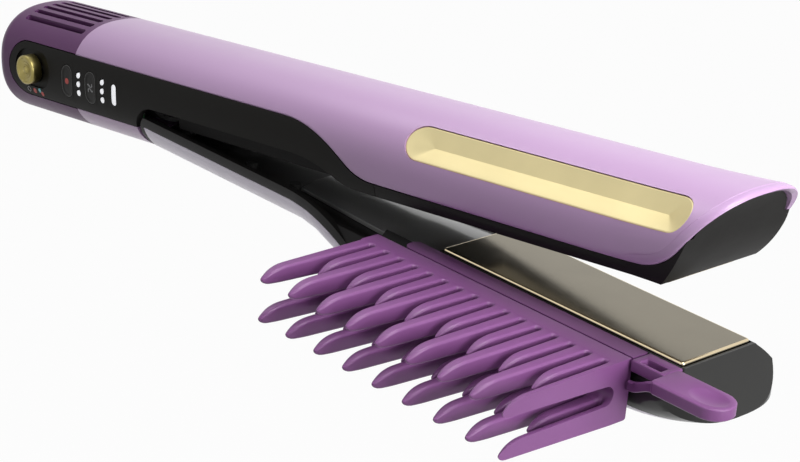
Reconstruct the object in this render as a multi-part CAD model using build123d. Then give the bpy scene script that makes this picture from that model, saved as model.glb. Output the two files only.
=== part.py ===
from build123d import *
import os
from math import acos, cos, pi, radians, sin, sqrt, tan

os.makedirs("parts", exist_ok=True)

# Air-blowing hair straightener with a clip-on comb, in millimetres.
# X runs from the rear end to the tip, Z is up, and the controls are on the -Y side.
# The origin is the middle of the cord inlet's mouth, on the axis of the handle tube.
# The lower arm is drawn parallel to the handle and then swung open about its hinge.

# Gaps
SEAM = 0.12          # between covers that are fixed edge to edge
RUN = 0.35           # between pieces that move past each other
FIT = 0.05           # radial clearance of a shaft in its bush
FAR = 90.0           # reach of a cutting block

# Handle tube: one rounded section from the rear end to the tip
TUBE_W = 42.1
TUBE_H = 37.6
TUBE_POWER = 2.39
SECTION_POINTS = 32
WALL = 2.0
REAR_ROUND = 6.4
FLARE_START = 296.0  # the tube widens a little towards its open tip
FLARE_LEN = 30.0
FLARE_W = 3.0
FLARE_H = 0.3

# Rear cap and its air slots
CAP_END = 47.2
SLOT_COUNT = 8
SLOT_PITCH = 3.75
SLOT_W = 2.0
SLOT_START = 10.0
SLOT_END = 44.5

# Black side strip
STRIP_START = 9.6
STRIP_TOP = 9.4
STRIP_LOW = -9.2
STRIP_WALL = 2.4
STRIP_END = 200.0
STEP_Z = -1.1        # lower edge of the strip over the lower arm
STEP_START = 162.0
STEP_R1 = 50.0
STEP_R2 = 20.0

# Pale top shell: its lower edge drops in an S bend, then rises round the tip
BEND_START = 157.0
BEND_R1 = 52.0
BEND_R2 = 22.0
SHELL_LOW = -3.4
RIM_START = 301.0
RIM_R = 22.0
RIM_ANGLE = 52.0

# Black nose casing of the upper arm
CASING_LOW = -7.3
CASING_WALL = 4.4
CASING_FLOOR = 2.0
END_CURVE = ((310.7, -7.3), (315.3, -2.0), (318.6, 3.5), (321.1, 9.0), (328.6, 20.0))
PLUG_START = 290.0

# Gold trough panels on the shoulders
PANEL_START = 211.9
PANEL_END = 317.2
PANEL_W = 11.5
PANEL_Y = -16.5
PANEL_Z = 11.6
PANEL_ANGLE = 51.3   # from vertical, of the panel's outward direction
PANEL_BACK = 3.0
PANEL_SINK = 0.3
TROUGH_DEPTH = 1.7
TROUGH_RUN = 8.0     # length of the trough's end facets

# Controls, on the -Y side
KNOB_X = 23.5
KNOB_Z = 0.8
KNOB_D = 12.0
KNOB_FACE = -24.4
KNOB_TRAVEL = 3.6    # each way, to the outer two of the three positions
TRACK_H = 13.0
TRACK_DEPTH = 1.2
STEM_D = 3.0
SWITCH_H = 0.9       # height of the switches on the control board
HEAT_X = 44.1
FAN_X = 57.6
BUTTON_Z = 0.3
BUTTON_W = 6.4
BUTTON_H = 13.4
PRESS_TRAVEL = 0.6
DOT_D = 2.3
DOT_PITCH = 3.1
HEAT_DOTS_X = 50.8
FAN_DOTS_X = 64.4
BAR_X = 71.1
BAR_W = 3.0
BAR_H = 8.8

# Hinge between the arms
HINGE_X = 92.0
HINGE_Z = -12.0
OPEN_ANGLE = 6.5     # from parallel, as the arms stand at rest
CLOSED_ANGLE = 1.3   # from parallel, when the plates meet
ARCH_R = 10.9        # rounded recess in the handle round the hinge
ARM_END_R = 8.8      # rounded rear end of the lower arm
PIN_R = 1.5
PIN_END = 0.1        # how far the pin's ends lie inside the lugs
EAR_R = 3.0
EAR_IN = 5.5         # inner and outer faces of the handle's ears, from the middle
EAR_OUT = 7.7
LUG_R = 4.0
LUG_W = 2.8
BUSH_WALL = 0.8

# Lower arm, drawn parallel to the handle
ARM_MID_Z = -1.2     # middle of its section at the rear, the same oval as the handle
DEEP_MID_Z = -12.0   # middle of its section under the plate
DEEP_H = 26.4
DEEP_POWER = 3.5
DEEPEN_START = 160.0
DEEPEN_END = 196.0
ARM_WALL = 1.5
RIM_Z = -5.5
DROP_START = 160.0
DROP_R1 = 55.0
DROP_R2 = 20.0
DROP = 11.4
SHELL_EDGE_Z = -9.1
SHELL_REAR_X = 85.4
DECK_Z = -10.0
DECK_T = 2.0
DECK_START = 99.5
HUMP_START = 200.0
HUMP_TOP = -5.1
HUMP_TOP_W = 30.4
HUMP_BULGE_Y = 19.4
HUMP_BULGE_Z = -10.3
HUMP_LOW_Z = -17.0
NOSE_MID_X = 304.0
NOSE_LEN = 22.4
NOSE_POWER = 3.2
NOSE_BEND = 296.0    # from here the arm's underside rises and rounds off towards the tip
NOSE_BEND_LEN = 36.4
NOSE_RISE = 8.9
NOSE_END_POWER = 2.2
NOSE_SLOPE_START = 316.6
NOSE_SLOPE_X = 326.6
NOSE_SLOPE_Z = -19.0

# Plates
PLATE_START = 222.5
PLATE_END = 315.2
UPPER_PLATE_END = 308.2
PLATE_W = 28.3
PLATE_T = 1.5
PLATE_SKIRT = 3.2
PLATE_TOP = -4.25
PLATE_ROUND = 0.7
PLATE_GAP = 0.3      # left between the two plates when the arms are closed
FLOAT = 0.8          # how far a plate can sink on its cushions
HEATER_W = 16.0
HEATER_T = 2.5
CUSHION_T = 2.2
CARRIER_T = 1.6
CARRIER_W = 24.0

# Fairing behind the lower plate
FAIRING_START = 155.0
FAIRING_REAR_W = 21.2
FAIRING_FRONT_W = 31.0
FAIRING_REAR_TOP = -7.2
FAIRING_FRONT_TOP = -4.9

# Comb attachment, drawn with the arm
COMB_TOP = -5.1
COMB_LOW = -23.6
COMB_START = 202.9
COMB_END = 304.0
COMB_SEAM_Y = -21.4
COMB_ROOT_Y = -27.5  # where the gaps between the teeth end
TOOTH_PITCH = 12.37
LONG_COUNT = 9
LONG_TIP_Y = -70.0
SHORT_TIP_Y = -53.2
UPPER_Z = -8.35      # middle heights of the two rows of teeth
LOWER_Z = -20.4
TOOTH_H = 6.3
TOOTH_W = 4.2
TOOTH_TIP_W = 3.2
TOOTH_ROUND = 1.3
NOSE_L = 7.8         # length over which a tooth's back curves down to its tip
NOSE_DROP = 2.9
HEEL_L = 3.4
RAIL_IN_Y = -14.7
RAIL_T = 3.3
RAIL_START = 213.0
NECK_END = 316.0
NECK_OUT_Y = -22.8
TAB_END = 339.3
TAB_IN_Y = -16.4
TAB_OUT_Y = -28.4
TAB_T = 3.6
DIMPLE_R = 9.0
DIMPLE_DEPTH = 1.4
DIMPLE_X = 332.0
LATCH_GAP = 0.65     # clear of the comb's end while the tab flexes
WEB_T = 3.1
WEB_X = (304.65, 310.5, 317.5)   # stations of the spring web from the comb's end to the tab
WEB_OUT = (-23.4, -26.0, -28.35)
WEB_IN = (-21.8, -23.6, -25.0)
WEB_EDGE = (-14.2, -9.8, -5.5)   # height of its outer edge
WEB_BACK = (-7.4, -6.3, -5.2)    # height of its inner edge
TONGUE_X = (222.0, 290.0)
TONGUE_W = 8.0
TONGUE_T = 2.4
TONGUE_LEN = 1.6
TONGUE_Z = -18.4

# Insides of the handle
GLAND_BORE_R = 4.0
GLAND_R = 6.5
GLAND_LEN = 7.0
FLANGE_R = 8.5
FILTER_T = 0.8
FRAME_T = 2.5
FRAME_GAP = 0.2
BULKHEADS = (49.5, 80.0, 99.5, 168.0)
FAN_MID_Z = 2.0
FAN_R = 13.0
FAN_START = 52.5
FAN_LEN = 27.0
FAN_WALL = 1.4
HUB_R = 4.2
BLADE_COUNT = 9
BLADE_LEN = 8.0
MOTOR_R = 7.5
MOTOR_LEN = 14.0
SHAFT_R = 1.0
BOARD_T = 1.6
CONTROL_BOARD_Y = -14.6
HEAT_TUBE_R = 9.0
HEAT_TUBE_START = 108.0
HEAT_TUBE_END = 166.0
HEAT_TUBE_Z = 6.4
MICA_T = 0.8
COIL_R = 0.45
COIL_COUNT = 9
COIL_PITCH = 5.5
COIL_RING_R = 5.8
SPRING_X = 112.0
SPRING_R = 3.0
SPRING_WIRE_R = 0.4
SPRING_TURNS = 6
COVER_Z = -6.0
COVER_T = 2.0
COVER_W = 35.0
COVER_TOP = 1.2      # the cover's lip lies behind the side strips
COVER_LIP_W = 36.9
BUFFER_X = (131.5, 153.0)
BUFFER_Y = 11.5
BUFFER_R = 1.8
BUFFER_H = 2.2
SCREW_R = 1.5
SCREW_HEAD_R = 2.6
SCREW_HEAD_H = 1.2

half_w = TUBE_W / 2
half_h = TUBE_H / 2
deep_half_h = DEEP_H / 2
inner = WALL + SEAM


def at(x, z, y=0.0):
    return (x, y, z)


def oval(x, wide, high, power, mid_z=0.0):
    """A closed rounded section square to X, by its half width and half height."""
    points = []
    for i in range(SECTION_POINTS):
        a = 2 * pi * (i + 0.5) / SECTION_POINTS
        r = ((abs(cos(a)) / wide) ** power + (abs(sin(a)) / high) ** power) ** (-1 / power)
        points.append((x, r * cos(a), mid_z + r * sin(a)))
    return Face(Wire([Spline(*points, periodic=True)]))


def tube(x0, x1, inset=0.0):
    """The handle tube from x0 to x1, with its flared tip."""
    section = oval(x0, half_w - inset, half_h - inset, TUBE_POWER)
    body = Part() + extrude(section, amount=min(x1, FLARE_START) - x0, dir=(1, 0, 0))
    if x1 <= FLARE_START:
        return body
    rings = []
    for k in range(5):
        x = FLARE_START + (x1 - FLARE_START) * k / 4
        grow = ((x - FLARE_START) / FLARE_LEN) ** 2
        rings.append(oval(x, half_w + FLARE_W * grow - inset, half_h + FLARE_H * grow - inset, TUBE_POWER))
    return body + loft(rings)


def block(x0, x1, y0, y1, z0, z1):
    return Pos((x0 + x1) / 2, (y0 + y1) / 2, (z0 + z1) / 2) * Box(x1 - x0, y1 - y0, z1 - z0)


def across(edges):
    """Everything inside a side-view outline, right across the width."""
    face = Face(Wire(edges))
    return Part() + extrude(face, amount=FAR, dir=(0, 1, 0), both=True)


def side_disc(x, z, r):
    return Pos(x, 0, z) * Rot(90, 0, 0) * Cylinder(r, 2 * FAR)


def bar_y(x, z, r, y0, y1):
    return Pos(x, (y0 + y1) / 2, z) * Rot(90, 0, 0) * Cylinder(r, y1 - y0)


def bar_x(x0, x1, y, z, r):
    return Pos((x0 + x1) / 2, y, z) * Rot(0, 90, 0) * Cylinder(r, x1 - x0)


def bar_z(x, y, r, z0, z1):
    return Pos(x, y, (z0 + z1) / 2) * Cylinder(r, z1 - z0)


def s_bend(x, z, drop, r1, r2):
    """Two tangent arcs that carry a level edge down by drop; also gives their end."""
    turn = acos(1 - drop / (r1 + r2))
    mid_x, mid_z = x + r1 * sin(turn), z - r1 * (1 - cos(turn))
    end_x, end_z = mid_x + r2 * sin(turn), z - drop
    half = turn / 2
    first = ThreePointArc(at(x, z), at(x + r1 * sin(half), z - r1 * (1 - cos(half))), at(mid_x, mid_z))
    second = ThreePointArc(
        at(mid_x, mid_z), at(end_x - r2 * sin(half), end_z + r2 * (1 - cos(half))), at(end_x, end_z)
    )
    return [first, second], (end_x, end_z)


def mirrored(part):
    return mirror(part, about=Plane.XZ)


def swing(part, angle):
    """Turn a piece of the lower arm down about the hinge."""
    return part.rotate(Axis(at(HINGE_X, HINGE_Z), (0, 1, 0)), angle)


def loose(*pieces):
    """Separate solids that share one file."""
    solids = []
    for piece in pieces:
        solids += piece.solids()
    return Compound(children=solids)


# Side-view zones that the covers are cut to
rim_turn = radians(RIM_ANGLE)
rim_end = (RIM_START + RIM_R * sin(rim_turn), SHELL_LOW + RIM_R * (1 - cos(rim_turn)))


def top_zone(x0=CAP_END + SEAM):
    bend, low = s_bend(BEND_START, STRIP_TOP, STRIP_TOP - SHELL_LOW, BEND_R1, BEND_R2)
    half = rim_turn / 2
    top = (rim_end[0] + (FAR - rim_end[1]) / tan(rim_turn), FAR)
    return across([
        Line(at(x0, STRIP_TOP), at(BEND_START, STRIP_TOP)),
        *bend,
        Line(at(*low), at(RIM_START, SHELL_LOW)),
        ThreePointArc(
            at(RIM_START, SHELL_LOW),
            at(RIM_START + RIM_R * sin(half), SHELL_LOW + RIM_R * (1 - cos(half))),
            at(*rim_end),
        ),
        Line(at(*rim_end), at(*top)),
        Line(at(*top), at(x0, FAR)),
        Line(at(x0, FAR), at(x0, STRIP_TOP)),
    ])


def strip_zone(gap=0.0):
    top, low, x0 = STRIP_TOP + gap, STRIP_LOW - gap, STRIP_START - gap
    mid, r = (top + low) / 2, (top - low) / 2
    arch_r = ARCH_R + gap
    arch_x = HINGE_X - sqrt(arch_r**2 - (low - HINGE_Z) ** 2)
    step = HINGE_Z + arch_r
    steep = arch_r * sin(pi / 4)
    bend, end = s_bend(STEP_START, step, step - CASING_LOW, STEP_R1, STEP_R2)
    return across([
        Line(at(x0 + r, low), at(arch_x, low)),
        ThreePointArc(at(arch_x, low), at(HINGE_X - steep, HINGE_Z + steep), at(HINGE_X, step)),
        Line(at(HINGE_X, step), at(STEP_START, step)),
        *bend,
        Line(at(*end), at(STRIP_END + gap, CASING_LOW)),
        Line(at(STRIP_END + gap, CASING_LOW), at(STRIP_END + gap, top)),
        Line(at(STRIP_END + gap, top), at(x0 + r, top)),
        ThreePointArc(at(x0 + r, top), at(x0, mid), at(x0 + r, low)),
    ])


pale_zone = top_zone()
pale_clear = pale_zone.translate((SEAM, 0, -SEAM))

# Rear cap: dark cover over the air inlet, drawn off backwards to clean the filter
rear_block = tube(0, CAP_END)
rear_block = fillet(rear_block.faces().sort_by(Axis.X)[0].edges(), REAR_ROUND)
cap_inside = tube(WALL, CAP_END + 1, WALL)
cap_inside = fillet(cap_inside.faces().sort_by(Axis.X)[0].edges(), REAR_ROUND - WALL)
rear_cap = rear_block - cap_inside - strip_zone(RUN)
slot_len = SLOT_END - SLOT_START
slot_x = (SLOT_START + SLOT_END) / 2
for i in range(SLOT_COUNT):
    slot_y = (i - (SLOT_COUNT - 1) / 2) * SLOT_PITCH
    slot = extrude(SlotOverall(slot_len, SLOT_W), amount=FAR)
    rear_cap -= Pos(slot_x, slot_y, 0) * slot
rear_cap -= bar_x(-1, WALL + 1, 0, 0, GLAND_R + RUN)

# Pale top shell, open at the tip and pierced for the two gold panels
top_shell = (tube(CAP_END + SEAM, 345) - tube(CAP_END, 346, WALL)) & pale_zone


def panel_plane():
    turn = radians(PANEL_ANGLE)
    middle = ((PANEL_START + PANEL_END) / 2, PANEL_Y, PANEL_Z)
    return Plane(origin=middle, x_dir=(1, 0, 0), z_dir=(0, -sin(turn), cos(turn)))


def panel_prism(gap, low, high):
    outline = SlotOverall(PANEL_END - PANEL_START - 2 * gap, PANEL_W - 2 * gap)
    return panel_plane() * Pos(0, 0, low) * extrude(outline, amount=high - low)


panel_hole = panel_prism(0.0, -PANEL_BACK, PANEL_BACK * 2)
top_shell = top_shell - panel_hole - mirrored(panel_hole)


def trough():
    """A long V groove with sloping end facets, cut into a gold panel."""
    face = panel_plane()
    long_half = (PANEL_END - PANEL_START) / 2
    wide = PANEL_W / 2 - 0.5
    rise = 2 * TROUGH_DEPTH
    grow = 1 + rise / TROUGH_DEPTH
    section = Plane(origin=face.origin, x_dir=face.y_dir, z_dir=face.x_dir)
    vee = section * make_face(Polyline((0, -TROUGH_DEPTH), (wide * grow, rise), (-wide * grow, rise), close=True))
    vee = extrude(vee, amount=long_half * 2, both=True)
    side = Plane(origin=face.origin, x_dir=face.x_dir, z_dir=-face.y_dir)
    ridge = long_half - TROUGH_RUN
    far = ridge + TROUGH_RUN * grow
    hip = side * make_face(Polyline(
        (-ridge, -TROUGH_DEPTH), (ridge, -TROUGH_DEPTH), (far, rise), (-far, rise), close=True
    ))
    hip = extrude(hip, amount=FAR, both=True)
    return vee & hip


gold_left = panel_prism(SEAM, -PANEL_BACK, PANEL_BACK * 2) & tube(PANEL_START - 5, PANEL_END + 5, PANEL_SINK)
gold_left = gold_left - trough()
gold_right = mirrored(gold_left)

# Pale bottom shell of the handle, ended by the arch round the hinge
bottom_shell = tube(CAP_END + SEAM, HINGE_X) - tube(CAP_END, HINGE_X + 1, WALL)
bottom_shell = bottom_shell & block(0, HINGE_X, -FAR, FAR, -FAR, STRIP_LOW - SEAM)
bottom_shell -= side_disc(HINGE_X, HINGE_Z, ARCH_R)

# Black side strips; the -Y one holds the controls
strips = (tube(1, STRIP_END) - tube(0, STRIP_END + 1, STRIP_WALL)) & strip_zone() - pale_clear
strips = strips - block(CAP_END, BEND_START, -FAR, FAR, STRIP_TOP - SEAM, FAR)
control_panel = strips & block(0, FAR * 3, -FAR, 0, -FAR, FAR)
side_panel = strips & block(0, FAR * 3, 0, FAR, -FAR, FAR)


def side_slot(x, z, wide, high, y0, y1):
    """A round-ended hole or plug in the control side, from y0 to y1."""
    if wide > high:
        shape = SlotOverall(wide, high)
    else:
        shape = Rot(0, 0, 90) * SlotOverall(high, wide)
    return Pos(x, y1, z) * Rot(90, 0, 0) * extrude(shape, amount=y1 - y0)


track_floor = -half_w + TRACK_DEPTH
track_len = KNOB_D + 2 * KNOB_TRAVEL + 1.0
control_panel -= side_slot(KNOB_X, KNOB_Z, track_len, TRACK_H, -FAR, track_floor)
stem_slot = STEM_D + 2 * KNOB_TRAVEL + 2 * RUN
control_panel -= side_slot(KNOB_X, KNOB_Z, stem_slot, STEM_D + 2 * RUN, -FAR, 0)
for button_x in (HEAT_X, FAN_X):
    control_panel -= side_slot(button_x, BUTTON_Z, BUTTON_W + 2 * RUN, BUTTON_H + 2 * RUN, -FAR, 0)
for dots_x in (HEAT_DOTS_X, FAN_DOTS_X):
    for k in (-1, 0, 1):
        control_panel -= bar_y(dots_x, BUTTON_Z + k * DOT_PITCH, DOT_D / 2 + FIT, -FAR, 0)
control_panel -= side_slot(BAR_X, BUTTON_Z, BAR_W + 2 * FIT, BAR_H + 2 * FIT, -FAR, 0)

# Indicator lenses, pushed into the strip from behind
strip_skin = tube(10, 80) - tube(9, 81, STRIP_WALL)
lenses = []
for dots_x in (HEAT_DOTS_X, FAN_DOTS_X):
    for k in (-1, 0, 1):
        lenses.append(bar_y(dots_x, BUTTON_Z + k * DOT_PITCH, DOT_D / 2, -FAR, 0) & strip_skin)
lenses.append(side_slot(BAR_X, BUTTON_Z, BAR_W, BAR_H, -FAR, 0) & strip_skin)
indicator_lenses = loose(*lenses)

# Mode switch: a turned metal knob on a slider
knob_back = track_floor - RUN
mode_knob = bar_y(KNOB_X, KNOB_Z, KNOB_D / 2, KNOB_FACE, knob_back)
mode_knob = chamfer(mode_knob.faces().sort_by(Axis.Y)[0].edges(), 0.5)
dish_r = KNOB_D / 2 - 1.3
mode_knob -= bar_y(KNOB_X, KNOB_Z, dish_r, KNOB_FACE - 1, KNOB_FACE + 0.35)
mode_knob += Pos(KNOB_X, KNOB_FACE + 0.35, KNOB_Z) * Sphere(0.9) & block(0, 99, KNOB_FACE, 0, -9, 9)
slider_y = -half_w + STRIP_WALL + 0.6
mode_knob += bar_y(KNOB_X, KNOB_Z, STEM_D / 2, knob_back - 0.5, slider_y)
slider_end = CONTROL_BOARD_Y - BOARD_T / 2 - SWITCH_H - RUN
mode_knob += block(KNOB_X - 4, KNOB_X + 4, slider_y, slider_end, KNOB_Z - 3, KNOB_Z + 3)


def push_button(x):
    cap_part = side_slot(x, BUTTON_Z, BUTTON_W, BUTTON_H, -FAR, 0) & (tube(20, 80) - tube(19, 81, 1.8))
    stem_end = CONTROL_BOARD_Y - BOARD_T / 2 - SWITCH_H - PRESS_TRAVEL - RUN
    return cap_part + bar_y(x, BUTTON_Z, 1.5, -half_w + 1.0, stem_end)


heat_button = push_button(HEAT_X)
fan_button = push_button(FAN_X)

# Control board on its edge behind the strip, with the two push switches and the slide switch
control_board = block(13, 78, CONTROL_BOARD_Y - BOARD_T / 2, CONTROL_BOARD_Y + BOARD_T / 2, -7.5, 7.5)
switch_y = CONTROL_BOARD_Y - BOARD_T / 2
control_parts = []
for button_x in (HEAT_X, FAN_X):
    control_parts.append(block(button_x - 3, button_x + 3, switch_y - SWITCH_H, switch_y, -2.7, 3.3))
control_parts.append(block(KNOB_X - 8.5, KNOB_X + 8.5, switch_y - SWITCH_H, switch_y, -3.5, 4.5))
control_switches = loose(*control_parts)

# Black casing of the upper arm: a band and floor round the plate and a blunt, slightly bulging end
def end_zone(back=0.0):
    points = [at(x - back, z) for x, z in END_CURVE]
    low, top = points[0], points[-1]
    return across([
        Line(at(150, CASING_LOW), low),
        Spline(*points),
        Line(top, at(top[0], FAR)),
        Line(at(top[0], FAR), at(150, FAR)),
        Line(at(150, FAR), at(150, CASING_LOW)),
    ])


casing_start = STRIP_END + SEAM
upper_casing = tube(casing_start, 345) - pale_clear
upper_casing += tube(PLUG_START, 345, inner)
upper_casing = upper_casing & end_zone()
casing_hollow = tube(casing_start - 1, 345, CASING_WALL) & end_zone(2.4)
casing_hollow = casing_hollow & block(150, 345, -FAR, FAR, CASING_LOW + CASING_FLOOR, FAR)
upper_casing -= casing_hollow
panel_room = panel_prism(-SEAM, -PANEL_BACK - SEAM, PANEL_BACK * 2)
upper_casing = upper_casing - panel_room - mirrored(panel_room)
hole_half = PLATE_W / 2 + RUN + 0.05
upper_casing -= block(PLATE_START - RUN, UPPER_PLATE_END + RUN, -hole_half, hole_half, -FAR, -3)

# Bottom cover of the upper arm, between the hinge and the plate
cover_half = COVER_W / 2
cover_start = BULKHEADS[2] + FRAME_T + SEAM
cover_end = STRIP_END - SEAM
under_cover = block(cover_start, cover_end, -cover_half, cover_half, COVER_Z, COVER_TOP)
under_cover += block(cover_start, STEP_START, -COVER_LIP_W / 2, COVER_LIP_W / 2, STEP_Z + SEAM, COVER_TOP)
under_cover -= block(cover_start - 1, cover_end + 1, -cover_half + COVER_T, cover_half - COVER_T, COVER_Z + COVER_T, 9)
cup_top = HEAT_TUBE_Z - HEAT_TUBE_R - 0.5
spring_seat = cup_top - 0.8
under_cover += bar_z(SPRING_X, 0, SPRING_R + 2.0, COVER_Z, cup_top)
under_cover -= bar_z(SPRING_X, 0, SPRING_R + 0.8, COVER_Z - 1, spring_seat)

# Frame inside the handle: bulkheads on two rails, with the ears that carry the hinge pin
frame_section_inset = STRIP_WALL + FRAME_GAP
rails_z = 9.0
inner_frame = Part()
for x in BULKHEADS:
    plate = tube(x, x + FRAME_T, frame_section_inset)
    if x >= BULKHEADS[1]:
        plate = plate & block(0, FAR * 3, -FAR, FAR, COVER_TOP + SEAM, FAR)
    inner_frame += plate
for side in (-1, 1):
    y_rail = side * 13.5
    inner_frame += block(BULKHEADS[0], BULKHEADS[3] + FRAME_T, y_rail - 1.5, y_rail + 1.5, rails_z - 2, rails_z + 2)
inner_frame -= bar_x(BULKHEADS[0] - 1, BULKHEADS[0] + 4, 0, FAN_MID_Z, FAN_R + SEAM)
inner_frame -= bar_x(BULKHEADS[1] - 1, BULKHEADS[1] + 4, 0, FAN_MID_Z + 4, 8)
inner_frame -= bar_x(BULKHEADS[2] - 1, BULKHEADS[3] + 4, 0, HEAT_TUBE_Z, HEAT_TUBE_R - 2)
inner_frame -= block(0, 80, -FAR, CONTROL_BOARD_Y + BOARD_T / 2 + SEAM, -7.5 - SEAM, 7.5 + SEAM)
for side in (-1, 1):
    y0, y1 = sorted((side * EAR_IN, side * EAR_OUT))
    ear = bar_y(HINGE_X, HINGE_Z, EAR_R, y0, y1)
    ear += block(HINGE_X - EAR_R, HINGE_X + EAR_R, y0, y1, HINGE_Z, 6)
    ear += block(HINGE_X, BULKHEADS[2] + 1, y0, y1, COVER_TOP + SEAM, 6)
    inner_frame += ear
inner_frame -= bar_y(HINGE_X, HINGE_Z, PIN_R, -FAR, FAR)

# Cord gland in the middle of the rear end
cord_gland = bar_x(0, GLAND_LEN, 0, 0, GLAND_R) + bar_x(WALL + RUN + 0.2, WALL + 2.2, 0, 0, FLANGE_R)
cord_gland -= bar_x(-1, GLAND_LEN + 1, 0, 0, GLAND_BORE_R)
bracket_top = FAN_MID_Z - FAN_R - 0.5
gland_bracket = block(GLAND_LEN - 2.2, BULKHEADS[0] + 0.5, -4, 4, bracket_top - 2.2, bracket_top)
gland_bracket += block(GLAND_LEN - 2.2, GLAND_LEN - 0.2, -4, 4, bracket_top - 2.2, 0)
gland_bracket -= bar_x(-1, GLAND_LEN + 1, 0, 0, GLAND_R + SEAM)
inner_frame += gland_bracket

# Intake filter: a curved mesh sheet under the cap's slots
filter_out = WALL + RUN + 0.1
intake_filter = tube(8, BULKHEADS[0], filter_out) - tube(7, BULKHEADS[0] + 1, filter_out + FILTER_T)
intake_filter = intake_filter & block(0, 99, -14.6, 14.6, 9, FAR)

# Fan: housing, impeller on the motor's shaft, motor on three struts
fan_end = FAN_START + FAN_LEN - 0.2
fan_housing = bar_x(FAN_START - 3, fan_end, 0, FAN_MID_Z, FAN_R)
fan_housing -= bar_x(FAN_START - 4, fan_end + 1, 0, FAN_MID_Z, FAN_R - FAN_WALL)
motor_start = FAN_START + BLADE_LEN + 2.0
for k in range(3):
    strut = Rot(120 * k, 0, 0) * block(motor_start + 1, motor_start + 8, -0.7, 0.7, MOTOR_R + SEAM, FAN_R - 0.4)
    fan_housing += Pos(0, 0, FAN_MID_Z) * strut
fan_housing += bar_x(motor_start + 1, motor_start + 8, 0, FAN_MID_Z, MOTOR_R + 0.9)
fan_housing -= bar_x(motor_start, motor_start + 9, 0, FAN_MID_Z, MOTOR_R + SEAM)
motor = bar_x(motor_start, motor_start + MOTOR_LEN, 0, FAN_MID_Z, MOTOR_R)
motor -= bar_x(motor_start - 1, motor_start + 8, 0, FAN_MID_Z, SHAFT_R + FIT)
impeller = bar_x(FAN_START, FAN_START + BLADE_LEN, 0, FAN_MID_Z, HUB_R)
blade = block(FAN_START + 0.5, FAN_START + BLADE_LEN - 0.5, -0.5, 0.5, HUB_R - 1, FAN_R - FAN_WALL - 0.6)
blade = blade.rotate(Axis((FAN_START + BLADE_LEN / 2, 0, 0), (0, 0, 1)), 28)
for k in range(BLADE_COUNT):
    impeller += Pos(0, 0, FAN_MID_Z) * Rot(360 / BLADE_COUNT * k, 0, 0) * blade
impeller += bar_x(FAN_START + 1, motor_start + 7, 0, FAN_MID_Z, SHAFT_R)

# Main board above the hinge
main_board = block(BULKHEADS[1] + FRAME_T + SEAM, BULKHEADS[2] - SEAM, -12, 12, 11.2, 11.2 + BOARD_T)
main_board += block(84, 97, -8, -2, 8, 11.3) + block(86, 95, 3, 8, 7.5, 11.3)

# Air heater: a mica cross wound with wire, in a tube held between two bulkheads
tube_x0, tube_x1 = BULKHEADS[2] + FRAME_T + SEAM, BULKHEADS[3] - SEAM
heater_tube = bar_x(tube_x0, tube_x1, 0, HEAT_TUBE_Z, HEAT_TUBE_R)
heater_tube -= bar_x(tube_x0 - 1, tube_x1 + 1, 0, HEAT_TUBE_Z, HEAT_TUBE_R - 0.8)
mica_half = HEAT_TUBE_R - 0.8 - 0.1
mica_cross = block(HEAT_TUBE_START, HEAT_TUBE_END, -mica_half, mica_half, -MICA_T / 2, MICA_T / 2)
mica_cross += block(HEAT_TUBE_START, HEAT_TUBE_END, -MICA_T / 2, MICA_T / 2, -mica_half, mica_half)
mica_cross = Pos(0, 0, HEAT_TUBE_Z) * mica_cross
coil_rings = []
for k in range(COIL_COUNT):
    ring_x = HEAT_TUBE_START + 6 + k * COIL_PITCH
    ring = Pos(ring_x, 0, HEAT_TUBE_Z) * Rot(0, 90, 0) * Torus(COIL_RING_R, COIL_R)
    coil_rings.append(ring)
    mica_cross -= Pos(ring_x, 0, HEAT_TUBE_Z) * Rot(0, 90, 0) * Torus(COIL_RING_R, COIL_R + FIT)
heater_wire = loose(*coil_rings)

# Hinge pin, and the coil spring that holds the arms open
lug_in = EAR_OUT + RUN + 0.2
lug_out = lug_in + LUG_W
hinge_pin = bar_y(HINGE_X, HINGE_Z, PIN_R, -lug_out + PIN_END, lug_out - PIN_END)


def arm_point(x, z):
    """Where a point of the parallel lower arm lies once the arm is open."""
    a = radians(OPEN_ANGLE)
    dx, dz = x - HINGE_X, z - HINGE_Z
    return HINGE_X + dx * cos(a) + dz * sin(a), HINGE_Z - dx * sin(a) + dz * cos(a)


spring_low = arm_point(SPRING_X, DECK_Z)[1] + 0.9
spring_high = spring_seat - SPRING_WIRE_R - 0.15
spring_pitch = (spring_high - spring_low) / SPRING_TURNS
helix = Helix(pitch=spring_pitch, height=spring_high - spring_low, radius=SPRING_R)
wire_face = Plane(origin=helix @ 0, z_dir=helix % 0) * Circle(SPRING_WIRE_R)
opening_spring = Pos(SPRING_X, 0, spring_low) * sweep(wire_face, path=helix)

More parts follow.
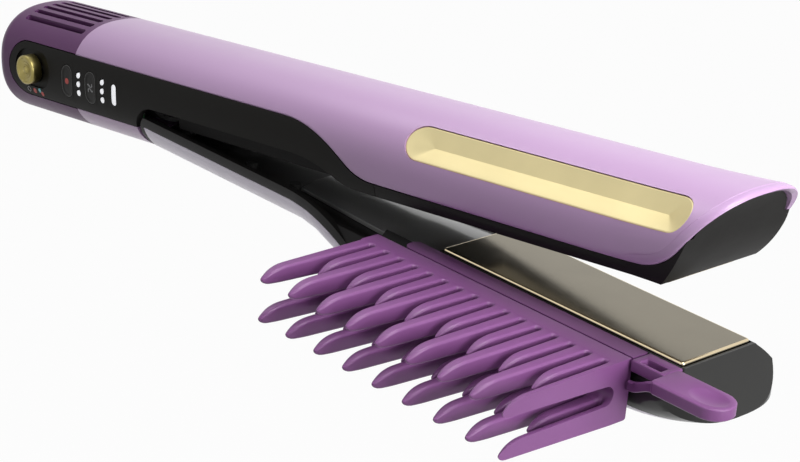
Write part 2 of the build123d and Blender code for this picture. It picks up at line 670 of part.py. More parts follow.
# Lower arm: its outside, deepened under the plate
def arm_body(x0, inset=0.0):
    rear = oval(x0, half_w - inset, half_h - inset, TUBE_POWER, ARM_MID_Z)
    front = oval(DEEPEN_END, half_w - inset, deep_half_h - inset, DEEP_POWER, DEEP_MID_Z)
    body = Part() + extrude(rear, amount=DEEPEN_START - x0, dir=(1, 0, 0))
    steps = []
    for k in range(5):
        s = k / 4
        ease = s * s * (3 - 2 * s)
        high = half_h + (deep_half_h - half_h) * ease - inset
        power = TUBE_POWER + (DEEP_POWER - TUBE_POWER) * ease
        mid = ARM_MID_Z + (DEEP_MID_Z - ARM_MID_Z) * ease
        steps.append(oval(DEEPEN_START + (DEEPEN_END - DEEPEN_START) * s, half_w - inset, high, power, mid))
    body += Part() + loft(steps, ruled=True)
    body += extrude(front, amount=NOSE_BEND - DEEPEN_END, dir=(1, 0, 0))
    tips = []
    for k in range(5):
        s = k / 4
        rise = NOSE_RISE * s * s
        power = DEEP_POWER + (NOSE_END_POWER - DEEP_POWER) * s
        tips.append(oval(
            NOSE_BEND + NOSE_BEND_LEN * s, half_w - inset, deep_half_h - rise / 2 - inset, power, DEEP_MID_Z + rise / 2
        ))
    return body + loft(tips)


def below_edge(z, x0, x1, lift=0.0):
    bend, end = s_bend(DROP_START, z, DROP, DROP_R1, DROP_R2)
    zone = across([
        Line(at(x0, z), at(DROP_START, z)),
        *bend,
        Line(at(*end), at(x1, z - DROP)),
        Line(at(x1, z - DROP), at(x1, -FAR)),
        Line(at(x1, -FAR), at(x0, -FAR)),
        Line(at(x0, -FAR), at(x0, z)),
    ])
    return zone.translate((0, 0, lift))


def nose_plan(shrink=0.0):
    """Blunt rounded plan of the arm's tip, with straight sides behind it."""
    long, wide = NOSE_LEN - shrink, half_w + 0.3 - shrink
    points = []
    for i in range(13):
        a = pi / 2 - pi * i / 12
        r = ((abs(cos(a)) / long) ** NOSE_POWER + (abs(sin(a)) / wide) ** NOSE_POWER) ** (-1 / NOSE_POWER)
        points.append((NOSE_MID_X + r * cos(a), r * sin(a), -FAR))
    outline = Wire([
        Spline(*points),
        Line(points[-1], (60, -wide, -FAR)),
        Line((60, -wide, -FAR), (60, wide, -FAR)),
        Line((60, wide, -FAR), points[0]),
    ])
    return Part() + extrude(Face(outline), amount=2 * FAR, dir=(0, 0, 1))


def nose_side(back=0.0):
    start, low = NOSE_SLOPE_START - back, NOSE_SLOPE_X - back
    slope = (NOSE_SLOPE_X - NOSE_SLOPE_START) / (HUMP_TOP - NOSE_SLOPE_Z)
    top = (start - slope * (FAR + HUMP_TOP) * 0.2, HUMP_TOP + (FAR + HUMP_TOP) * 0.2)
    foot = at(low - 3.0, DEEP_MID_Z - deep_half_h)
    return across([
        Line(at(60, FAR), at(top[0], FAR)),
        Line(at(top[0], FAR), at(*top)),
        Line(at(*top), at(low, NOSE_SLOPE_Z)),
        ThreePointArc(at(low, NOSE_SLOPE_Z), at(low - 0.4, NOSE_SLOPE_Z - 4.0), foot),
        Line(foot, at(low - 3.0, -FAR)),
        Line(at(low - 3.0, -FAR), at(60, -FAR)),
        Line(at(60, -FAR), at(60, FAR)),
    ])


def hump_block(x0, x1, grow=0.0):
    """The raised middle of the arm, under the plate: flat top and rounded shoulders."""
    top, edge = HUMP_TOP + grow, HUMP_TOP_W / 2 + grow
    low_y = half_w + 0.5 + grow
    left = ThreePointArc(
        (x0, -edge, top - 0.6), (x0, -HUMP_BULGE_Y - grow, HUMP_BULGE_Z), (x0, -low_y, HUMP_LOW_Z)
    )
    right = ThreePointArc(
        (x0, low_y, HUMP_LOW_Z), (x0, HUMP_BULGE_Y + grow, HUMP_BULGE_Z), (x0, edge, top - 0.6)
    )
    outline = Wire([
        left,
        Line((x0, -low_y, HUMP_LOW_Z), (x0, -low_y, -FAR)),
        Line((x0, -low_y, -FAR), (x0, low_y, -FAR)),
        Line((x0, low_y, -FAR), (x0, low_y, HUMP_LOW_Z)),
        right,
        Line((x0, edge, top - 0.6), (x0, edge - 0.6, top)),
        Line((x0, edge - 0.6, top), (x0, -edge + 0.6, top)),
        Line((x0, -edge + 0.6, top), (x0, -edge, top - 0.6)),
    ])
    return Part() + extrude(Face(outline), amount=x1 - x0, dir=(1, 0, 0))


arm_x0, arm_x1 = HINGE_X - ARM_END_R - 1, NOSE_MID_X + NOSE_LEN + 5
arm_skin = arm_body(arm_x0)
arm_end = block(HINGE_X, FAR * 4, -FAR, FAR, -FAR, FAR) + side_disc(HINGE_X, HINGE_Z, ARM_END_R)
arm_tub = arm_skin & below_edge(RIM_Z, 70, HUMP_START + 4) & arm_end
arm_hump = hump_block(HUMP_START, arm_x1)
arm_hump += hump_block(DROP_START, HUMP_START) & block(0, FAR * 4, -FAR, FAR, -FAR, DECK_Z)
arm_whole = (arm_tub + (arm_skin & arm_hump)) & nose_plan() & nose_side()

# Pale lower shell, a skin along the bottom of the arm
shell_line = block(SHELL_REAR_X, FAR * 4, -FAR, FAR, -FAR, FAR) & arm_end
arm_deep = DEEP_MID_Z - deep_half_h
shell_zone = below_edge(SHELL_EDGE_Z, 70, 345)
arm_core = arm_body(arm_x0 - 1, WALL)
arm_core_clear = arm_body(arm_x0 - 1, inner)
lower_shell = (arm_skin - arm_core) & shell_zone & shell_line & nose_plan(0.5) & nose_side(0.5)
shell_room = (arm_skin - arm_core_clear) & shell_zone.translate((0, 0, SEAM))
shell_room = shell_room & shell_line.translate((-SEAM, 0, 0))

# Black casing of the lower arm
lower_casing = arm_whole - shell_room
cavity_inset = inner + ARM_WALL
arm_inside = arm_body(arm_x0 - 1, cavity_inset)
lower_casing -= arm_inside & block(0, DECK_START, -FAR, FAR, -FAR, FAR)
lower_casing -= arm_inside & block(DECK_START, HUMP_START + 4, -FAR, FAR, -FAR, DECK_Z - DECK_T)
trough_inside = arm_body(arm_x0 - 1, STRIP_WALL)
lower_casing -= trough_inside & block(0, HUMP_START - 3, -FAR, FAR, DECK_Z, FAR)
fairing_half = FAIRING_FRONT_W / 2 + SEAM
lower_casing -= block(HUMP_START - 6, PLATE_START - RUN - SEAM, -fairing_half, fairing_half, DECK_Z, FAR)
box_half, box_low = 15.4, arm_deep + cavity_inset + 0.4
lower_casing -= block(HUMP_START + 2, PLATE_END - 2, -box_half, box_half, box_low, DECK_Z - DECK_T)
lower_casing -= block(PLATE_START - RUN, PLATE_END + RUN, -hole_half, hole_half, DECK_Z - DECK_T - 1, FAR)
for side in (-1, 1):
    y0, y1 = sorted((side * lug_in, side * lug_out))
    lug = bar_y(HINGE_X, HINGE_Z, LUG_R, y0, y1)
    lug += block(HINGE_X - LUG_R, HINGE_X + LUG_R, y0, y1, ARM_MID_Z - half_h, HINGE_Z)
    lower_casing += lug & arm_core_clear
lower_casing -= bar_y(HINGE_X, HINGE_Z, PIN_R + FIT + BUSH_WALL, -lug_out - 0.2, lug_out + 0.2)

bushes = []
for side in (-1, 1):
    y0, y1 = sorted((side * lug_in, side * lug_out))
    bushes.append(
        bar_y(HINGE_X, HINGE_Z, PIN_R + FIT + BUSH_WALL, y0, y1) - bar_y(HINGE_X, HINGE_Z, PIN_R + FIT, -FAR, FAR)
    )
hinge_bushes = loose(*bushes)

# Rubber buffers that stand on the arm's deck
buffers = []
for x in BUFFER_X:
    for side in (-1, 1):
        buffers.append(bar_z(x, side * BUFFER_Y, BUFFER_R, DECK_Z, DECK_Z + BUFFER_H))
closing_buffers = loose(*buffers)


# Glossy fairing behind the lower plate
def fairing_face(x, wide, top):
    half, low = wide / 2, DECK_Z + SEAM
    side_top = low + (top - low) * 0.35
    return Face(Wire([
        Line((x, -half, low), (x, half, low)),
        Line((x, half, low), (x, half, side_top)),
        ThreePointArc((x, half, side_top), (x, 0, top), (x, -half, side_top)),
        Line((x, -half, side_top), (x, -half, low)),
    ]))


fairing_end = PLATE_START - RUN - 2 * SEAM
lower_fairing = Part() + loft([
    fairing_face(FAIRING_START, FAIRING_REAR_W, FAIRING_REAR_TOP),
    fairing_face(fairing_end, FAIRING_FRONT_W, FAIRING_FRONT_TOP),
])


# Plates: a formed sheet with turned-down edges, its heater, cushions and carrier.
# Drawn for the lower arm, face up; the upper set is the same, face down, at its own height.
def plate_sheet(x1):
    half = PLATE_W / 2
    sheet = block(PLATE_START, x1, -half, half, PLATE_TOP - PLATE_SKIRT, PLATE_TOP)
    top_face = sheet.faces().sort_by(Axis.Z)[-1]
    sheet = fillet(top_face.edges(), PLATE_ROUND)
    return sheet - block(
        PLATE_START + 1.2, x1 - 1.2, -half + 1.2, half - 1.2, PLATE_TOP - PLATE_SKIRT - 1, PLATE_TOP - PLATE_T
    )


heater_top = PLATE_TOP - PLATE_T
heater_low = heater_top - HEATER_T
cushion_low = heater_low - CUSHION_T
carrier_low = cushion_low - CARRIER_T


def plate_heater(x1):
    bar = block(PLATE_START + 6, x1 - 6, -HEATER_W / 2, HEATER_W / 2, heater_low, heater_top)
    return bar


def plate_sensor():
    return block(PLATE_START + 30, PLATE_START + 36, HEATER_W / 2 + 0.5, HEATER_W / 2 + 3.5, heater_top - 2.2, heater_top)


def plate_cushions(x1):
    pads = []
    span = x1 - PLATE_START
    for k in range(3):
        x = PLATE_START + span * (k + 0.5) / 3
        pads.append(block(x - 5, x + 5, -6, 6, cushion_low, heater_low))
    return loose(*pads)


def plate_carrier(x1):
    half = CARRIER_W / 2
    carrier = block(PLATE_START + 2, x1 - 2, -half, half, carrier_low, cushion_low)
    return carrier


lower_plate = plate_sheet(PLATE_END)
lower_heater = plate_heater(PLATE_END)
lower_sensor = plate_sensor()
lower_cushions = plate_cushions(PLATE_END)
lower_carrier = plate_carrier(PLATE_END)
lower_post_low = box_low
for x in (PLATE_START + 12, PLATE_END - 12):
    lower_carrier += bar_z(x, 0, 4.0, lower_post_low, carrier_low + 0.5)

face_up = PLATE_TOP + PLATE_GAP


def flip(part):
    """Turn a piece of the lower plate set over, to face it from above."""
    return mirror(part, about=Plane.XY).translate((0, 0, PLATE_TOP + face_up))


upper_plate = flip(plate_sheet(UPPER_PLATE_END))
upper_heater = flip(plate_heater(UPPER_PLATE_END))
upper_sensor = flip(plate_sensor())
upper_cushions = flip(plate_cushions(UPPER_PLATE_END))
upper_carrier = flip(plate_carrier(UPPER_PLATE_END))
post_high = 2 * half_h
carrier_high = PLATE_TOP + face_up - carrier_low
for x in (PLATE_START + 12, PLUG_START - 8):
    upper_carrier += bar_z(x, 0, 4.0, carrier_high - 0.5, post_high)
upper_set = [swing(piece, CLOSED_ANGLE) for piece in (upper_plate, upper_heater, upper_sensor)]
upper_plate, upper_heater, upper_sensor = upper_set
upper_cushions = swing(upper_cushions, CLOSED_ANGLE)
upper_carrier = swing(upper_carrier, CLOSED_ANGLE) & tube(150, 345, inner)


# Comb attachment
def tooth(tip_y, mid_z):
    """One flat blade at X 0 with rounded edges: its back curves down to a blunt tip."""
    top, low = mid_z + TOOTH_H / 2, mid_z - TOOTH_H / 2
    root = Plane(origin=(0, COMB_ROOT_Y, mid_z), x_dir=(1, 0, 0), z_dir=(0, -1, 0))
    end = Plane(origin=(0, tip_y, mid_z), x_dir=(1, 0, 0), z_dir=(0, -1, 0))
    blade = Part() + loft([
        root * RectangleRounded(TOOTH_W, TOOTH_H, TOOTH_ROUND),
        end * RectangleRounded(TOOTH_TIP_W, TOOTH_H, TOOTH_ROUND),
    ])
    nose_y, heel_y, tip_z = tip_y + NOSE_L, tip_y + HEEL_L, top - NOSE_DROP
    over, under = top + 0.05, low - 0.05
    back = ThreePointArc(
        (0, nose_y, over), (0, tip_y + NOSE_L * 0.3, top - NOSE_DROP * 0.38), (0, tip_y, tip_z)
    )
    heel = ThreePointArc((0, tip_y, tip_z), (0, tip_y + HEEL_L * 0.22, low + 0.9), (0, heel_y, under))
    rest = Polyline(
        (0, heel_y, under), (0, heel_y, under - 1), (0, tip_y - 2, under - 1),
        (0, tip_y - 2, over + 1), (0, nose_y, over + 1), (0, nose_y, over),
    )
    return blade - extrude(Face(Wire([back, heel, *rest.edges()])), amount=TOOTH_W, dir=(1, 0, 0), both=True)


# The comb's back ends in a full round between the two rows; the teeth stand on its front face
row_gap_low, row_gap_high = LOWER_Z + TOOTH_H / 2, UPPER_Z - TOOTH_H / 2
gap_mid, gap_r = (row_gap_low + row_gap_high) / 2, (row_gap_high - row_gap_low) / 2
comb_spine = block(COMB_START, COMB_END, COMB_ROOT_Y, COMB_SEAM_Y, COMB_LOW, COMB_TOP)
back_edges = comb_spine.edges().filter_by(Axis.X).group_by(Axis.Y)[-1]
comb_spine = fillet(back_edges, 0.8)
comb_spine += block(COMB_START, COMB_END, COMB_ROOT_Y - gap_r, COMB_ROOT_Y, row_gap_low + 0.1, row_gap_high - 0.1)
comb_spine -= bar_x(COMB_START - 1, COMB_END + 1, COMB_ROOT_Y - gap_r, gap_mid, gap_r)

first_long = COMB_START + TOOTH_W / 2
tooth_rows = []
for tip_y, first, count in (
    (LONG_TIP_Y, first_long, LONG_COUNT),
    (SHORT_TIP_Y, first_long + TOOTH_PITCH / 2, LONG_COUNT - 1),
):
    row = []
    for row_z in (UPPER_Z, LOWER_Z):
        pattern = tooth(tip_y, row_z)
        for i in range(count):
            row.append(Pos(first + i * TOOTH_PITCH, 0, 0) * pattern & block(0, COMB_END, -FAR, FAR, -FAR, FAR))
    tooth_rows.append(loose(*row))
comb_long_teeth, comb_short_teeth = tooth_rows

arm_clear = hump_block(HUMP_START - 1, arm_x1, RUN) & block(0, 345, -half_w - RUN, half_w + RUN, -FAR, FAR)
for x in TONGUE_X:
    tongue = block(
        x - TONGUE_W / 2, x + TONGUE_W / 2, COMB_SEAM_Y - 0.5, COMB_SEAM_Y + TONGUE_LEN, TONGUE_Z, TONGUE_Z + TONGUE_T
    )
    comb_spine += tongue
    pocket_half = TONGUE_W / 2 + RUN
    lower_casing -= block(
        x - pocket_half, x + pocket_half, -FAR, COMB_SEAM_Y + TONGUE_LEN + RUN,
        TONGUE_Z - RUN, TONGUE_Z + TONGUE_T + RUN,
    )

# Comb rail along the plate, then the thumb latch on its neck and spring web
rail_low = COMB_TOP - RAIL_T
comb_rail = block(RAIL_START, COMB_END, COMB_SEAM_Y + SEAM, RAIL_IN_Y, rail_low, COMB_TOP)
rail_r = 3.0
comb_rail = fillet(comb_rail.edges().filter_by(Axis.Z).sort_by(Axis.X)[:2], rail_r)
comb_rail += bar_z(RAIL_START + 6.0, RAIL_IN_Y - 3.4, 3.6, rail_low, COMB_TOP)
comb_rail = comb_rail & block(0, 345, COMB_SEAM_Y + SEAM, FAR, -FAR, FAR)
comb_rail -= arm_clear

latch_start = COMB_END + LATCH_GAP
tab_mid = (TAB_IN_Y + TAB_OUT_Y) / 2
tab_r = (TAB_IN_Y - TAB_OUT_Y) / 2
comb_latch = block(latch_start, NECK_END + 6, NECK_OUT_Y, RAIL_IN_Y - 0.4, rail_low, COMB_TOP)
comb_latch += block(NECK_END, TAB_END - tab_r, TAB_OUT_Y, TAB_IN_Y, COMB_TOP - TAB_T, COMB_TOP)
comb_latch += bar_z(TAB_END - tab_r, tab_mid, tab_r, COMB_TOP - TAB_T, COMB_TOP)
web_faces = []
for x, out, inn, edge, back in zip(WEB_X, WEB_OUT, WEB_IN, WEB_EDGE, WEB_BACK):
    web_faces.append(make_face(Plane.YZ.offset(x) * Polyline(
        (out + 0.5, back), (out, edge), (out, edge - WEB_T), (inn, edge - WEB_T), (inn, back), close=True
    )))
comb_latch += loft(web_faces, ruled=True)
dimple_z = COMB_TOP + DIMPLE_R - DIMPLE_DEPTH
comb_latch -= Pos(DIMPLE_X, tab_mid - 0.6, dimple_z) * Sphere(DIMPLE_R)
comb_latch -= arm_clear

# Swing the lower arm and everything on it to the open rest pose
swung = {
    "lower_casing": lower_casing,
    "lower_shell": lower_shell,
    "lower_fairing": lower_fairing,
    "lower_plate": lower_plate,
    "lower_heater": lower_heater,
    "lower_sensor": lower_sensor,
    "lower_cushions": lower_cushions,
    "lower_carrier": lower_carrier,
    "hinge_bushes": hinge_bushes,
    "closing_buffers": closing_buffers,
    "comb_spine": comb_spine,
    "comb_long_teeth": comb_long_teeth,
    "comb_short_teeth": comb_short_teeth,
    "comb_rail": comb_rail,
    "comb_latch": comb_latch,
}
pieces = {name: swing(piece, OPEN_ANGLE) for name, piece in swung.items()}
pieces.update({
    "rear_cap": rear_cap,
    "top_shell": top_shell,
    "bottom_shell": bottom_shell,
    "control_panel": control_panel,
    "side_panel": side_panel,
    "upper_casing": upper_casing,
    "under_cover": under_cover,
    "gold_panel_left": gold_left,
    "gold_panel_right": gold_right,
    "mode_knob": mode_knob,
    "heat_button": heat_button,
    "fan_button": fan_button,
    "indicator_lenses": indicator_lenses,
    "control_board": control_board,
    "control_switches": control_switches,
    "main_board": main_board,
    "inner_frame": inner_frame,
    "cord_gland": cord_gland,
    "intake_filter": intake_filter,
    "fan_housing": fan_housing,
    "fan_motor": motor,
    "impeller": impeller,
    "heater_tube": heater_tube,
    "mica_cross": mica_cross,
    "heater_wire": heater_wire,
    "hinge_pin": hinge_pin,
    "opening_spring": opening_spring,
    "upper_plate": upper_plate,
    "upper_heater": upper_heater,
    "upper_sensor": upper_sensor,
    "upper_cushions": upper_cushions,
    "upper_carrier": upper_carrier,
})
for name, piece in pieces.items():
    export_step(piece, f"parts/{name}.step")
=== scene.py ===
from math import acos, asin, cos, pi, radians, sin, sqrt, tan

import bmesh
import bpy
from mathutils import Matrix, Vector, geometry


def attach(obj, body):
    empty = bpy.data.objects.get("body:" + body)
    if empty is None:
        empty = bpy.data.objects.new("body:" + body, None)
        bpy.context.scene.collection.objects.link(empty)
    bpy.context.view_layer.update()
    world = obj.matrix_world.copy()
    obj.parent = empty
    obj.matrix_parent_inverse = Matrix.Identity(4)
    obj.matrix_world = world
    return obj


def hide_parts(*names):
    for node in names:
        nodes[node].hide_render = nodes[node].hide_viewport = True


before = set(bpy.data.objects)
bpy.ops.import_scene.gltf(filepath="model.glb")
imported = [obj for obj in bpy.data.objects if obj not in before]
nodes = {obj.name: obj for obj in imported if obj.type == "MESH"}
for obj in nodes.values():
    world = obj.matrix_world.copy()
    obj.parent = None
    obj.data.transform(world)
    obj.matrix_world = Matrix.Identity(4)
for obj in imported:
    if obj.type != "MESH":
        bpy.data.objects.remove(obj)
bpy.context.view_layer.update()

MM = 0.001


# ---------- Inner frame
# The bulkheads, rails and hinge ears of the handle are one moulding of black glass-filled nylon.
# The covers are fixed round it, and the lower arm hangs on its two ears.
class Val:
    """An output of a node; arithmetic on it adds Math nodes to its tree."""

    def __init__(self, owner, socket):
        self.owner, self.socket = owner, socket

    def math(self, operation, other):
        return self.owner.node("ShaderNodeMath", {"operation": operation}, {0: self, 1: other})

    def __add__(self, other):
        return self.math("ADD", other)

    def __sub__(self, other):
        return self.math("SUBTRACT", other)

    def __rsub__(self, other):
        return self.owner.node("ShaderNodeMath", {"operation": "SUBTRACT"}, {0: other, 1: self})

    def __mul__(self, other):
        return self.math("MULTIPLY", other)

    def __gt__(self, other):
        return self.math("GREATER_THAN", other)

    __radd__, __rmul__ = __add__, __mul__


class Nodes:
    """A node tree built from plain calls: outputs given as inputs are wired in, the rest is set."""

    def __init__(self, tree):
        self.tree = tree

    def feed(self, target, value):
        for one in value if isinstance(value, list) else [value]:
            if isinstance(one, Val):
                self.tree.links.new(one.socket, target)
            else:
                target.default_value = one

    def node(self, kind, settings=None, inputs=None, out=0):
        """Any node: its settings first, a colour ramp's stops among them, then its sockets."""
        made = self.tree.nodes.new(kind)
        for key, value in (settings or {}).items():
            if key == "stops":
                ramp = made.color_ramp.elements
                for k, (place, colour) in enumerate(value):
                    stop = ramp[k] if k < 2 else ramp.new(place)
                    stop.position, stop.color = place, (*colour, 1)
            else:
                setattr(made, key, value)
        for key, value in (inputs or {}).items():
            self.feed(made.inputs[key], value)
        return Val(self, made.outputs[out])


class Finish(Nodes):
    """A Principled material. Constants are set on its sockets; what varies is wired in."""

    def __init__(self, name, colour, roughness, **sockets):
        self.data = bpy.data.materials.new(name)
        self.data.use_nodes = True
        super().__init__(self.data.node_tree)
        self.shader = self.tree.nodes["Principled BSDF"]
        self.data.diffuse_color = (*colour, 1)
        self.set("Base Color", (*colour, 1))
        self.set("Roughness", roughness)
        for key, value in sockets.items():
            self.set(key.replace("_", " "), value)

    def set(self, socket, value):
        self.feed(self.shader.inputs[socket], value)

    def place(self, centre=(0, 0, 0), stretch=(1, 1, 1)):
        where = self.node("ShaderNodeTexCoord", out="Object")
        shift = tuple(-c * s for c, s in zip(centre, stretch))
        return self.node("ShaderNodeMapping", {}, {"Vector": where, "Location": shift, "Scale": stretch})

    def noise(self, grain_mm, detail=2.0, stretch=(1, 1, 1)):
        inputs = {"Vector": self.place(stretch=stretch), "Scale": 1 / (grain_mm * MM), "Detail": detail}
        return self.node("ShaderNodeTexNoise", {}, inputs)

    def mix(self, factor, a, b):
        a, b = (c if isinstance(c, Val) else (*c, 1) for c in (a, b))
        return self.node("ShaderNodeMix", {"data_type": "RGBA"}, {0: factor, 6: a, 7: b}, out=2)

    def bump(self, height, strength, depth_mm=0.05):
        inputs = {"Height": height, "Strength": strength, "Distance": depth_mm * MM}
        self.set("Normal", self.node("ShaderNodeBump", {}, inputs))


def rgb(r, g, b):
    """A colour as it is seen on a screen, made linear for a shader."""
    shares = (r / 255, g / 255, b / 255)
    return tuple(c / 12.92 if c < 0.04045 else ((c + 0.055) / 1.055) ** 2.4 for c in shares)


def moulded(name, colour, roughness, grain=0.09, spark=0.35, **sockets):
    """Moulded plastic: a fine spark-eroded grain, slow changes of gloss and a trace of flow marks."""
    finish = Finish(name, colour, roughness, **sockets)
    flow = finish.noise(28, 3, (0.4, 1, 1))
    deep = tuple(c * 0.90 for c in colour)
    pale = tuple(min(1, c * 1.08 + 0.002) for c in colour)
    finish.set("Base Color", finish.mix(flow, deep, pale))
    wear, cloud = finish.noise(9, 2) - 0.5, finish.noise(0.8, 2) - 0.5
    finish.set("Roughness", roughness + wear * 0.10 + cloud * 0.05)
    finish.bump(finish.noise(grain, 2), spark, 0.012)
    return finish


def finish_nodes(finish, *names):
    for name in names:
        slots = nodes[name].data.materials
        slots.clear()
        slots.append(finish.data)


nylon = moulded("glass_filled_nylon", rgb(34, 33, 34), 0.55, 0.25, 0.5)
fibre = nylon.noise(0.35, 1, (0.15, 1, 1)) > 0.66
nylon.set("Base Color", nylon.mix(fibre, rgb(30, 29, 30), rgb(58, 56, 55)))
finish_nodes(nylon, "inner_frame", "upper_carrier", "lower_carrier")
finish_nodes(nylon, "cord_gland", "hinge_bushes", "control_switches")

# ---------- Boards
# Two epoxy-glass boards: one on its edge behind the control strip, one over the hinge with the
# larger electronic parts. Green solder resist over copper tracks that just show as raised lines.
board_green = Finish("solder_resist", rgb(24, 84, 46), 0.3, Coat_Weight=0.3, Coat_Roughness=0.1)
track_cell = board_green.node(
    "ShaderNodeTexVoronoi", {"feature": "DISTANCE_TO_EDGE", "distance": "MANHATTAN"},
    {"Vector": board_green.place(), "Scale": 450.0}, out="Distance",
)
track = track_cell > 0.12
board_green.set("Base Color", board_green.mix(track, rgb(16, 62, 36), rgb(34, 100, 54)))
board_green.set("Roughness", 0.30 + board_green.noise(3) * 0.12)
board_green.bump(track, 0.3, 0.03)
finish_nodes(board_green, "control_board", "main_board")

# ---------- Fan
# A black housing with three struts holds the motor, and a nine-bladed impeller is pressed on
# its shaft. The motor can is drawn steel with a rolled grain round it.
finish_nodes(nylon, "fan_housing", "impeller")


def metal(name, colour, roughness, grain_mm=0.12, stretch=(1, 1, 1), scratch=0.25, **sockets):
    """Bare metal with a fine grain that runs along one direction, and slightly uneven gloss."""
    finish = Finish(name, colour, roughness, Metallic=1.0, **sockets)
    lines = finish.noise(grain_mm, 3, stretch)
    dull = tuple(c * 0.86 for c in colour)
    finish.set("Base Color", finish.mix(finish.noise(12, 3), dull, colour))
    finish.set("Roughness", roughness + (lines - 0.5) * 0.14 + (finish.noise(6) - 0.5) * 0.06)
    finish.bump(lines, scratch, 0.008)
    return finish


drawn_steel = metal("drawn_steel", rgb(176, 176, 178), 0.34, 0.2, (0.05, 1, 1))
finish_nodes(drawn_steel, "fan_motor")

# ---------- Air heater
# Two mica sheets crossed in a steel tube carry nine turns of nickel-chrome resistance wire.
# The mica is clouded where it has split; the wire and tube are tinted by heat.
mica = Finish("mica", rgb(190, 170, 130), 0.38, Coat_Weight=0.2, Coat_Roughness=0.2)
mica.set("Base Color", mica.mix(mica.noise(2.0, 4), rgb(168, 142, 98), rgb(214, 196, 158)))
mica.set("Roughness", 0.30 + mica.noise(1.2) * 0.25)
mica.bump(mica.noise(0.6, 4), 0.4, 0.03)
wire_metal = metal("resistance_wire", rgb(150, 138, 124), 0.42, 0.3)
tinted_steel = metal("heat_tinted_steel", rgb(168, 160, 148), 0.32, 0.2, (0.08, 1, 1))
HEAT_TINTS = ((0.25, rgb(176, 172, 166)), (0.8, rgb(120, 104, 128)), (0.52, rgb(182, 160, 112)))
tint = tinted_steel.node("ShaderNodeValToRGB", {"stops": HEAT_TINTS}, {"Fac": tinted_steel.noise(30, 2)})
tinted_steel.set("Base Color", tint)
finish_nodes(mica, "mica_cross")
finish_nodes(wire_metal, "heater_wire")
finish_nodes(tinted_steel, "heater_tube")

# ---------- Hinge and opening spring
# A ground steel pin runs in two bushes in the arm's lugs, and a coil spring under the heater
# holds the arm open. Both are left bare, with a light film of oil.
ground_steel = metal("ground_steel", rgb(190, 190, 192), 0.24, 0.1, (1, 0.05, 1), 0.15)
finish_nodes(ground_steel, "hinge_pin", "opening_spring")

# ---------- Intake filter
# A woven mesh of fine steel wire, curved to lie just under the cap's slots. Lint is kept out
# of the fan by it, and it is brushed clean when the cap is drawn off.
TUBE_HALF_W, TUBE_HALF_H, TUBE_POWER = 21.05, 18.8, 2.39
FLARE_START, FLARE_LEN, FLARE_W, FLARE_H = 296, 30, 3.0, 0.3


def tube_size(x, inset=0.0):
    """Half the handle's width and height at x, in millimetres; both grow toward the open tip."""
    grow = max(0.0, (x - FLARE_START) / FLARE_LEN) ** 2
    return TUBE_HALF_W + FLARE_W * grow - inset, TUBE_HALF_H + FLARE_H * grow - inset


def tube_at(x, y=None, z=None, inset=0.0):
    """Height of the handle's surface over y, or how far out it is at z."""
    wide, high = tube_size(x, inset)
    if y is None:
        return wide * max(0.0, 1 - (abs(z) / high) ** TUBE_POWER) ** (1 / TUBE_POWER)
    return high * max(0.0, 1 - (abs(y) / wide) ** TUBE_POWER) ** (1 / TUBE_POWER)


def placed(name, data):
    """A new object with its mesh, curve, lamp or camera, in the scene."""
    item = bpy.data.objects.new(name, data)
    bpy.context.scene.collection.objects.link(item)
    return item


def worked_out(item):
    """The plain mesh that an object's modifiers make; they are cleared from it."""
    bpy.context.view_layer.update()
    mesh = bpy.data.meshes.new_from_object(item.evaluated_get(bpy.context.evaluated_depsgraph_get()))
    item.modifiers.clear()
    return mesh


class Growth(Nodes):
    """A Geometry Nodes tree, turned into one plain mesh once it is built."""

    def __init__(self, name):
        super().__init__(bpy.data.node_groups.new(name, "GeometryNodeTree"))
        self.tree.interface.new_socket("Geometry", in_out="OUTPUT", socket_type="NodeSocketGeometry")
        self.entry = self.tree.nodes.new("NodeGroupInput")
        self.values = {}

    def size(self, name, value, kind="NodeSocketFloat"):
        """A named input of the tree, with the value that this piece uses."""
        item = self.tree.interface.new_socket(name, in_out="INPUT", socket_type=kind)
        self.values[item.identifier] = value
        return Val(self, next(o for o in self.entry.outputs if o.identifier == item.identifier))

    def grow(self, name, geometry, finish):
        """Realise the instances, set the material and return the mesh as an object."""
        real = self.node("GeometryNodeRealizeInstances", {}, {0: geometry})
        painted = self.node("GeometryNodeSetMaterial", {}, {"Geometry": real, "Material": finish.data})
        self.feed(self.tree.nodes.new("NodeGroupOutput").inputs[0], painted)
        host = placed(name + "_tree", bpy.data.meshes.new(name + "_tree"))
        modifier = host.modifiers.new("grow", "NODES")
        modifier.node_group = self.tree
        for key, value in self.values.items():
            modifier[key] = value
        mesh = worked_out(host)
        bpy.data.objects.remove(host)
        mesh.name = name
        if not mesh.materials:
            mesh.materials.append(finish.data)
        return placed(name, mesh)


FILTER_START, FILTER_END, FILTER_HALF, FILTER_INSET = 8.2, 49.3, 14.4, 2.85
FILTER_WIRE, FILTER_PITCH, ROD_LIFT, HOOP_X, HOOP_PARTS = 0.16, 1.1, 0.24, 20, 16
weave = Growth("filter weave")
wire_r = weave.size("Wire radius", FILTER_WIRE * MM)
rod_count = int(2 * FILTER_HALF / FILTER_PITCH) + 1
hoop_count = int((FILTER_END - FILTER_START) / FILTER_PITCH) + 1
hoop_curve = bpy.data.curves.new("filter_hoop_guide", "CURVE")
hoop_curve.dimensions = "3D"
hoop_line = hoop_curve.splines.new("POLY").points
hoop_line.add(HOOP_PARTS)
for k, point in enumerate(hoop_line):
    y = -FILTER_HALF + 2 * FILTER_HALF * k / HOOP_PARTS
    point.co = (*(Vector((0, y, tube_at(HOOP_X, y=y, inset=FILTER_INSET))) * MM), 1)
hoop_guide = placed("filter_hoop_guide", hoop_curve)
hoop_socket = weave.size("Hoop", hoop_guide, "NodeSocketObject")
